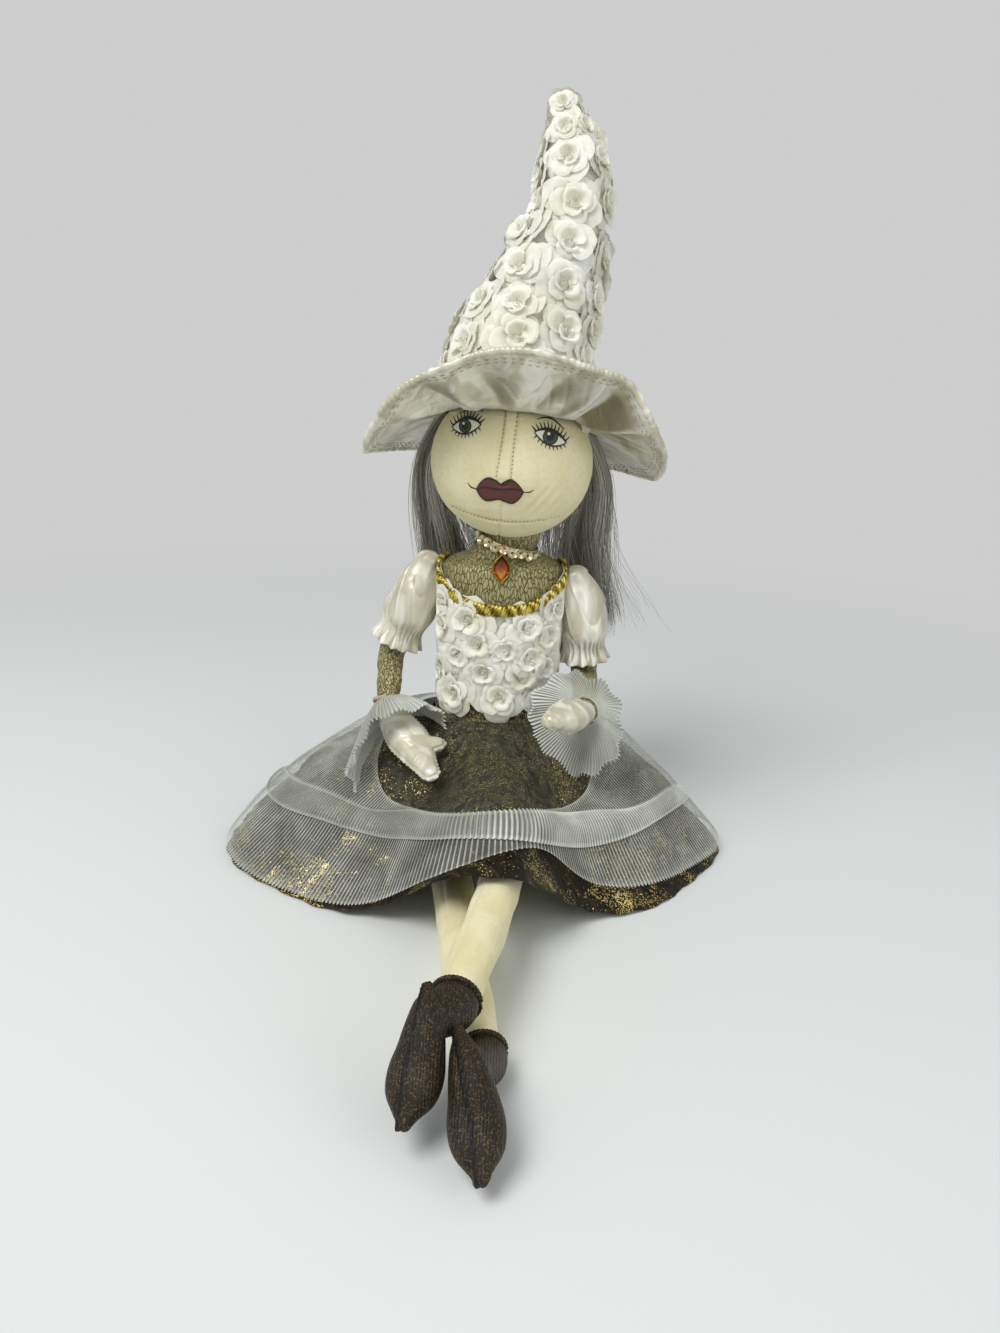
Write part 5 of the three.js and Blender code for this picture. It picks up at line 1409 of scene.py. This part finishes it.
for side, arm in arms.items():
    shoulder, elbow, wrist, tip = (np.array(arm[k], float) for k in ("shoulder", "elbow", "wrist", "tip"))

    def sleeve_gathers(angle, v, t):
        """Pulls from the shoulder seam, creases across them, the tuck, the frill and some slack."""
        across_t = angle * 0.9 * arm["sign"]
        run = 1 - np.abs(np.sin(3.5 * angle + 4.2 * t + 1.1 * np.sin(2 * angle + 3 * t)))
        pulled = run ** 4 * bump(t - 0.3, 0.36)
        cross = 1 - np.abs(np.sin(5.5 * t + across_t + 0.9 * np.sin(3 * angle + 1)))
        crossed = -0.9 * cross ** 6 * bump(t - 0.5, 0.28)
        tuck = 1.1 * np.sin(26 * angle + 1.5 * np.sin(5 * angle)) * bump(t - 0.84, 0.1)
        frill = 1.8 * np.sin(12 * angle + np.sin(4 * angle)) * np.clip((t - 0.86) / 0.14, 0, 1)
        slack = (0.9 * np.sin(3 * angle + 5 * t) + 0.5 * np.sin(5 * angle - 8 * t + 2)) * np.sin(np.pi * t)
        return pulled + crossed + tuck + frill + slack

    def sleeve_painted_shade(u, v):
        """Painted light where a crease faces up or forward, painted shade where it turns away."""
        angle, t = 2 * np.pi * u, np.clip((v - 0.1) / 0.9, 0, 1)
        lean = (sleeve_gathers(angle + 0.03, v, t) - sleeve_gathers(angle - 0.03, v, t)) / (0.06 * 17)
        fell = (sleeve_gathers(angle, v, t + 0.01) - sleeve_gathers(angle, v, t - 0.01)) / (0.02 * 60)
        return np.clip(0.75 * lean + 0.5 * fell, -0.6, 1)

    fall = elbow - shoulder
    sleeve_wide = [9.5, 13.3, 16, 17.9, 19, 15.2, 18.6]
    sleeve_top = shoulder + np.array([-5.7 * arm["sign"], 0, 14.25])
    bm = bmesh.new()
    # The sleeve's painted light and shade is kept as its shade attribute.
    patch(bm, 170, 100, limb([sleeve_top, shoulder + fall * 0.08, shoulder + fall * 0.45, shoulder + fall * 0.82],
                             sleeve_wide, ends=(0.8, 0), more=sleeve_gathers), shade=sleeve_painted_shade)
    sleeve = keep(bm, f"sleeve_{side}_satin", satin)
    layers = sleeve.modifiers.new("cloth", "SOLIDIFY")
    layers.thickness = 0.0007
    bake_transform(sleeve)
    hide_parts(f"sleeve_{side}")

    def arm_creases(angle, v, t):
        """Small creases along and across the arm."""
        return 0.35 * np.sin(11 * angle + 2 * np.sin(20 * t)) + 0.3 * np.sin(34 * t + 2 * np.sin(angle))

    bm = bmesh.new()
    patch(bm, 64, 110, outside_trunk(limb([shoulder, (shoulder + elbow) / 2, elbow, (elbow + wrist) / 2, wrist],
                                          [10.9, 10.9, 9.6, 8.8, 7.9], more=arm_creases), arm["sign"]))
    arm_piece = keep(bm, f"arm_{side}_cloth", crinkle_lame)
    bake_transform(arm_piece)
    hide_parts(f"upper_arm_{side}", f"forearm_{side}")


# Hands: mittens with a thumb, cut in two halves from the sleeves' satin and stuffed firm. The seam that joins the
# halves runs round the edge and draws small puckers at every stitch.
def welded_forms(name, places, voxel, passes, material):
    """Several stuffed forms grown into one skin and eased where they meet."""
    bm = bmesh.new()
    for columns, rows, place in places:
        patch(bm, columns, rows, place)
    piece = keep(bm, name, material)
    melt = piece.modifiers.new("melt", "REMESH")
    melt.mode = "VOXEL"
    melt.voxel_size = voxel
    melt.use_smooth_shade = True
    ready = bpy.data.meshes.new_from_object(piece.evaluated_get(bpy.context.evaluated_depsgraph_get()))
    piece.modifiers.clear()
    bm = bmesh.new()
    bm.from_mesh(ready)
    for _ in range(passes):
        bmesh.ops.smooth_vert(bm, verts=bm.verts, factor=0.5, use_axis_x=True, use_axis_y=True, use_axis_z=True)
    bm.to_mesh(piece.data)
    bm.free()
    piece.data.shade_smooth()
    return piece


def raise_seam(piece, origin, normal, height, width, pitch):
    """Stands a seam out where a plane meets the form, with a pucker at every stitch, and marks it as seam."""
    bm = bmesh.new()
    bm.from_mesh(piece.data)
    bm.normal_update()
    mark = bm.verts.layers.float.new("seam")
    origin, normal = Vector(origin), Vector(normal).normalized()
    for vert in bm.verts:
        off = (vert.co - origin).dot(normal) * 1000
        if abs(off) > 4 * width:
            continue
        along = (vert.co - origin).length * 1000
        stitched = 1 + 0.35 * math.cos(2 * math.pi * along / pitch)
        vert[mark] = min(1.0, 1.3 * math.exp(-(off / width) ** 2))
        up = height * math.exp(-(off / width) ** 2) - 0.6 * height * math.exp(-((abs(off) - 1.9 * width) / width) ** 2)
        vert.co += vert.normal * (up * stitched / 1000)
    bm.to_mesh(piece.data)
    bm.free()


def kept_above(verts, low):
    """Keeps cloth from sinking into what it rests on."""
    for vert in verts:
        vert.co.z = max(vert.co.z, low)


for side, arm in arms.items():
    wrist, tip, thumb = (np.array(arm[k], float) for k in ("wrist", "tip", "thumb"))
    reach = tip - wrist
    palm = limb([wrist + unit(reach) * 0.35, wrist + reach * 0.5, tip - reach * arm["short"]],
                [8, 12, 14.3, 11, 6.4], [8, 9.9, 11.3, 8.6, 6], ends=(0.2, 1))
    stub = limb([wrist + reach * arm["root"], wrist + reach * (arm["root"] + 0.02) + thumb * 0.5,
                 wrist + reach * (arm["root"] + 0.04) + thumb], [7.4, 7.2, 5.6], side=(0, 1, 0))
    hand = welded_forms(f"hand_{side}_mitten", [(40, 60, palm), (24, 30, stub)], 0.0011, 8, satin)
    raise_seam(hand, wrist / 1000, np.cross(reach, thumb), 1.2, 0.9, 3.4)
    if side == "right":
        kept_above(hand.data.vertices, 0.0615)
    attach(hand, f"{side}_forearm")
    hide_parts(f"hand_{side}")


# Cuffs: a strip of the same pleated organza round each wrist, tied with a narrow cord so that it stands out
# like a fan over the hand.
CUFF_PLEATS = 86.4  # spread round the wrist

for side, arm in arms.items():
    elbow, wrist, tip, drop = (np.array(arm[k], float) for k in ("elbow", "wrist", "tip", "drop"))
    axis = unit(tip - wrist)
    across, through = square_to(axis)

    def cuff(u, v):
        """The strip from the tie, v = 0, to its pinked edge; drop is how far its weight pulls that edge down."""
        angle = 2 * np.pi * u
        pleat = 1 + 0.05 * v * np.cos(12 * angle) + 0.03 * v * np.cos(CUFF_PLEATS * angle)
        along = arm["length"] * v ** 1.2 + arm["forward"] * v * np.cos(angle) + 0.9 * v * np.sin(CUFF_PLEATS * angle)
        along = along + 3.0 * v * np.sin(5 * angle + 1) + 0.6 * (v > 0.97) * np.sign(np.sin(CUFF_PLEATS * angle))
        return round_about(wrist + axis * (1 + along)[:, None] + drop * v[:, None], across, through, angle,
                           (9.7 + arm["flare"] * v ** 0.8) * pleat)
    bm = bmesh.new()
    patch(bm, 720, 16, cuff)
    spaced(bm, CUFF_PLEATS / PLEATS, doubled=0.5, edge=0.3)
    ruffle = keep(bm, f"cuff_{side}_organza", organza)
    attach(ruffle, f"{side}_forearm")
    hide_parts(f"cuff_ruffle_{side}")
    way = unit(wrist - elbow)
    tie_side, tie_up = square_to(way)

    def tie_line(angle):
        """The cord's own line, slightly uneven along the arm."""
        return round_about(wrist + way * (0.3 * np.sin(6 * angle) - 4.6)[:, None], tie_side, tie_up, angle, 9.9)
    bm = bmesh.new()
    ring_tube(bm, tie_line, lambda a, v: 1.25 + 0.15 * np.sin(48 * a + 2 * np.pi * v), 260, 8)
    tie = keep(bm, f"cuff_tie_{side}_cord", thread)
    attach(tie, f"{side}_forearm")
    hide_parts(f"cuff_tie_{side}")


# Legs: long muslin tubes, evenly stuffed, a little lumpy and creased at the knee. The left one lies over the
# right one.
legs = {
    "right": dict(hip=(-28, -46, 15.5), path=[(-14, -135, 13.6), (-4, -215, 13.4), (8.5, -288, 12)],
                  heel=(-4, -304, 43), toe=(10, -366, 13)),
    "left": dict(hip=(28, -46, 21.5), path=[(14, -160, 41), (6, -214, 41), (-8, -282, 39)],
                 heel=(-20, -289, 56), toe=(-26, -344, 21)),
}


def leg_lumps(angle, v, t):
    """Uneven stuffing, and the seam sunk along the back."""
    stuffing = 0.45 * np.sin(3 * angle + 7 * t) * np.sin(17 * t + 1) + 0.25 * np.sin(5 * angle - 23 * t)
    seam = -0.5 * np.exp(-((np.mod(angle + 0.9, 2 * np.pi) - np.pi) / 0.09) ** 2)
    return stuffing + seam


BOARD_GAP = 0.0003  # so that cloth lies on the board and never in it

for side, leg in legs.items():
    bm = bmesh.new()
    patch(bm, 88, 150, limb([leg["hip"], *leg["path"]], [14.5, 13.8, 13, 13, 11], ends=(1, 0.5), share=0.06,
                            more=leg_lumps))
    kept_above(bm.verts, BOARD_GAP)
    leg_piece = keep(bm, f"leg_{side}_cloth", muslin)
    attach(leg_piece, f"{side}_leg")
    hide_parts(f"leg_{side}")


# Slippers: pointed, of dark brown lurex knit in two panels. A black stitched seam runs over the instep to the
# toe, and the top edge is turned over into a soft ankle band.

# Lurex: brown rib knit, 1.5 mm from rib to rib, with a flat gold yarn in it. It is almost black with a dull sheen, and
# the yarn shows as scattered specks of 0.55 mm, lighter partly by its own colour and partly as a painted glint.
lurex, tree, surface, where = cloth("lurex_knit_brown", 0.55, metallic=0.3)
rib = add(tree, "ShaderNodeTexWave", {"Vector": where["Object"], "Scale": 314 / 1.5, "Distortion": 1.2, "Detail": 2.0},
          bands_direction="X")
twinkle = add(tree, "ShaderNodeTexVoronoi", {"Vector": where["Object"], "Scale": 1000 / 0.55})
twinkle_pick = add(tree, "ShaderNodeSeparateColor", {"Color": twinkle.outputs["Color"]})
bright = add(tree, "ShaderNodeMath", {0: twinkle_pick, 1: 0.16}, operation="LESS_THAN")
shade = add(tree, "ShaderNodeTexNoise", {"Vector": where["Object"], "Scale": 60, "Detail": 3.0})
lurex_ground = add(tree, "ShaderNodeMix", {"Factor": shade.outputs["Fac"], 6: linear("#120e08"),
                                           7: linear("#2f2413")}, data_type="RGBA")
# The yarn specks: the gold yarn's own colour together with a painted glint.
lurex_tone_and_glints = add(tree, "ShaderNodeMix", {"Factor": bright, 6: lurex_ground.outputs[2],
                                         7: linear("#5e4c28")}, data_type="RGBA")
seam_mark = add(tree, "ShaderNodeAttribute", attribute_name="seam")
lurex_sewn = add(tree, "ShaderNodeMix", {"Factor": seam_mark.outputs["Fac"], 6: lurex_tone_and_glints.outputs[2],
                                         7: linear("#070504")}, data_type="RGBA")
feed(surface, {"Base Color": lurex_sewn.outputs[2]})
relief = add(tree, "ShaderNodeBump", {"Height": rib.outputs["Fac"], "Strength": 0.5, "Distance": 0.0004})
relief = add(tree, "ShaderNodeBump", {"Height": twinkle_pick.outputs[1], "Strength": 0.4, "Distance": 0.0004,
                                      "Normal": relief})
feed(surface, {"Normal": relief})
for side, leg in legs.items():
    heel, toe, ankle = np.array(leg["heel"], float), np.array(leg["toe"], float), np.array(leg["path"][-1], float)
    along = toe - heel
    back = unit(np.array(leg["path"][-2], float) - ankle)
    foot = limb([heel, heel + along * 0.5 + (2, 3, -2), toe], [3.0, 7.2, 10.2, 12.1, 13.8, 12.1, 4.6],
                [3.0, 7.6, 10.3, 11.3, 12.3, 10.3, 4.2])
    collar = limb([ankle + back * 6, ankle, heel + along * 0.3 + (2, 3, -2)], [12.6, 13, 9.6], ends=(0.15, 0.5))
    shoe = welded_forms(f"shoe_{side}_lurex", [(48, 70, foot), (48, 40, collar)], 0.0012, 10, lurex)
    kept_above(shoe.data.vertices, BOARD_GAP)
    raise_seam(shoe, (heel + (-2.5, 0, 0)) / 1000, np.cross(along, np.array([0, 0, 1.0])), 0.8, 0.9, 3.4)
    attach(shoe, f"{side}_leg")
    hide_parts(f"shoe_{side}")
    band_side, band_up = square_to(back)

    def band_line(angle):
        return round_about(ankle + back * 6.5, band_side, band_up, angle, 12.4)
    bm = bmesh.new()
    ring_tube(bm, band_line, lambda a, v: 1.15 + 0.08 * np.sin(40 * a), 200, 10, flat=1.8)
    kept_above(bm.verts, BOARD_GAP)
    ankle_band = keep(bm, f"shoe_{side}_band", lurex)
    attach(ankle_band, f"{side}_leg")


# Choker: a narrow gold ribbon round the neck, closed behind. Eleven cup sequins are sewn along its front, every
# second one a little higher, so that they overlap.
CHOKER = np.array([10.28, -1.08, 228.04])
lean = Vector((7, -2, 26)).normalized()
lean_turn = np.array(Vector((0, 0, 1)).rotation_difference(lean).to_matrix())


def on_choker(points):
    """Places laid flat round the choker's middle, brought to the neck's lean."""
    return points @ lean_turn.T + CHOKER


# Cup sequins: pressed plastic film with a gold mirror coat, 7 mm across. They are smooth, and their colour runs from
# gold to almost white over about 5 mm as a painted reflection of the room.
sequin_gold, tree, surface, where = cloth("cup_sequin_gold", 0.2, metallic=0.7)
glint_and_dent_noise = add(tree, "ShaderNodeTexNoise", {"Vector": where["Object"], "Scale": 220, "Detail": 2.0})
# Painted reflection: gold to almost white over about 5 mm.
sequin_painted_glint = add(tree, "ShaderNodeMix", {"Factor": glint_and_dent_noise.outputs["Fac"], 6: linear("#a88a45"),
                                         7: linear("#f4edd2")}, data_type="RGBA")
feed(surface, {"Base Color": sequin_painted_glint.outputs[2]})
relief = add(tree, "ShaderNodeBump", {"Height": glint_and_dent_noise.outputs["Fac"], "Strength": 0.2, "Distance": 0.0004})
feed(surface, {"Normal": relief})


def ribbon(u, v):
    """The ribbon, as a flat band with rounded edges."""
    angle, turn = 2 * np.pi * u, 2 * np.pi * v
    radius = 21.7 + 0.7 * np.cos(turn)
    return on_choker(stacked(radius * np.cos(angle), radius * np.sin(angle), 2.0 * np.sin(turn)))


choker_shape = bmesh.new()
patch(choker_shape, 120, 12, ribbon)
for k in range(-2, 9):
    angle = -math.pi / 2 + math.radians(15.5) * (k - 3.4)
    middle_point = np.array([23.4 * math.cos(angle), 23.4 * math.sin(angle), 0.0 if k % 2 else -1.4])
    out = unit(np.array([math.cos(angle), math.sin(angle), 0.25 - 0.3 * (k % 2)]))
    side_way = np.array([-math.sin(angle), math.cos(angle), 0])
    up = np.cross(out, side_way)

    def cup(u, v):
        """A dished disc with eight facets and a hole; the second half of v is its back."""
        turn = 2 * np.pi * u
        radius = 0.45 + 3.1 * np.abs(1 - 2 * v) ** 0.9
        height = 1.3 * (radius / 3.5) ** 2 * (1 + 0.07 * np.cos(8 * turn)) - np.where(v < 0.5, 0.0, 0.16)
        return on_choker(round_about(middle_point + out * height[:, None], side_way, up, turn, radius))
    patch(choker_shape, 18, 8, cup)
choker = keep(choker_shape, "choker_sequins", sequin_gold)
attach(choker, "trunk")
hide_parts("choker")


# Pendant: an amber glass marquise, 18 mm high, in a stamped gilt setting: a flat plate with a rounded rim and four
# claws that are bent over the stone. It hangs from the choker and lies against the neck.
PENDANT = np.array([6.28, -25, 212.64])


def in_pendant(x, y, z):
    """A place in the pendant, which hangs tipped against the neck."""
    return turned_x(stacked(x, y, z), -16) + PENDANT


def marquise(turn, wide, high):
    """The outline of the stone: a lozenge pointed above and below, its side corners cut off."""
    step, corners = np.mod(turn, 2 * np.pi) * 4 / np.pi, [0, 0.55, 2, 3.45, 4, 4.6, 6, 7.4, 8]
    x = np.interp(step, corners, [0.5, 0.44, 0, -0.44, -0.5, -0.46, 0, 0.46, 0.5])
    z = np.interp(step, corners, [0.02, 0.2, 0.5, 0.2, 0.02, -0.16, -0.5, -0.16, 0.02])
    return wide * x, high * z


# Gilt metal: stamped brass with a thin gold wash, worn unevenly in spots of about 3 mm. It mirrors the room, dark
# where the wash has gone and bright where it holds.
gilt, tree, surface, where = cloth("gilt_metal", 0.3, metallic=1.0)
tarnish = add(tree, "ShaderNodeTexNoise", {"Vector": where["Object"], "Scale": 300, "Detail": 3.0})
gilt_tone = add(tree, "ShaderNodeMix", {"Factor": tarnish.outputs["Fac"], 6: linear("#7a5c1e"),
                                        7: linear("#d6b45e")}, data_type="RGBA")
feed(surface, {"Base Color": gilt_tone.outputs[2]})


def rim(u, v):
    """The rounded rim that stands round the stone."""
    turn, roll_turn = 2 * np.pi * u, 2 * np.pi * v
    x, z = marquise(turn, 12.2, 20.4)
    scale = 1 + 0.085 * np.cos(roll_turn)
    return in_pendant(x * scale, -1.6 + 1.3 * np.sin(roll_turn), z * scale)


def back_plate(u, v):
    """The flat plate behind it."""
    x, z = marquise(2 * np.pi * u, 12.4, 20.6)
    return in_pendant(x * v, -0.3, z * v)


setting_shape = bmesh.new()
patch(setting_shape, 96, 10, rim)
patch(setting_shape, 96, 4, back_plate)
for turn in (0.5, math.pi - 0.5, math.pi + 0.5, -0.5):
    x, z = marquise(turn, 12.4, 20.6)
    claw = limb([in_pendant(x, -0.5, z), in_pendant(x * 0.98, -3.4, z * 0.98), in_pendant(x * 0.82, -4.6, z * 0.84)],
                [0.8, 0.75, 0.55], share=0.15)
    patch(setting_shape, 10, 12, claw)
setting = keep(setting_shape, "pendant_gilt_setting", gilt)
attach(setting, "trunk")
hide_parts("pendant_setting")

# Amber glass: pressed glass with a flat table and sloping facets. Its colour is dark brown in clouds of about 6 mm and
# grows to bright orange towards the bottom, a painted glow of light passing through its lower half.
amber, tree, surface, where = cloth("amber_glass", 0.06)
feed(surface, {"IOR": 1.52, "Coat Weight": 0.6, "Transmission Weight": 0.25})
depth_noise = add(tree, "ShaderNodeTexNoise", {"Vector": where["Object"], "Scale": 160, "Detail": 2.0})
apart = add(tree, "ShaderNodeSeparateXYZ", {"Vector": where["Object"]})
# Painted glow: the colour brightens towards the stone's lower half.
painted_glow = add(tree, "ShaderNodeMapRange", {"Value": apart.outputs[2], "From Min": 0.218, "From Max": 0.2035})
stirred = add(tree, "ShaderNodeMath", {0: depth_noise.outputs["Fac"], 1: 0.5, 2: painted_glow},
              operation="MULTIPLY_ADD")
amber_tone_and_glow = add(tree, "ShaderNodeValToRGB", {"Fac": stirred})
amber_tone_and_glow.color_ramp.elements[0].color = linear("#571f05")
amber_tone_and_glow.color_ramp.elements[0].position = 0.3
amber_tone_and_glow.color_ramp.elements[1].position = 1.0
amber_tone_and_glow.color_ramp.elements[1].color = linear("#ffa32e")
amber_mid = amber_tone_and_glow.color_ramp.elements.new(0.65)
amber_mid.color = linear("#b4540c")
feed(surface, {"Base Color": amber_tone_and_glow.outputs["Color"]})


def stone_face(u, v):
    """The table and the facets that slope from it, with 24 flat sides."""
    x, z = marquise(2 * np.pi * np.round(u * 24) / 24, 10.6, 18.0)
    slope = np.interp(v, [0, 0.35, 0.42, 0.75, 1.0], [5.6, 5.5, 5.2, 3.8, 1.2])
    return in_pendant(x * v, -slope, z * v)


def stone_back(u, v):
    """The flat back, hidden in the setting."""
    x, z = marquise(2 * np.pi * u, 10.6, 18.0)
    return in_pendant(x * v, -1.2, z * v)


bm = bmesh.new()
patch(bm, 24, 20, stone_face, outside_in=True)
patch(bm, 24, 4, stone_back)
stone = keep(bm, "pendant_amber_stone", amber)
stone.data.shade_flat()
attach(stone, "trunk")
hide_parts("pendant_stone")
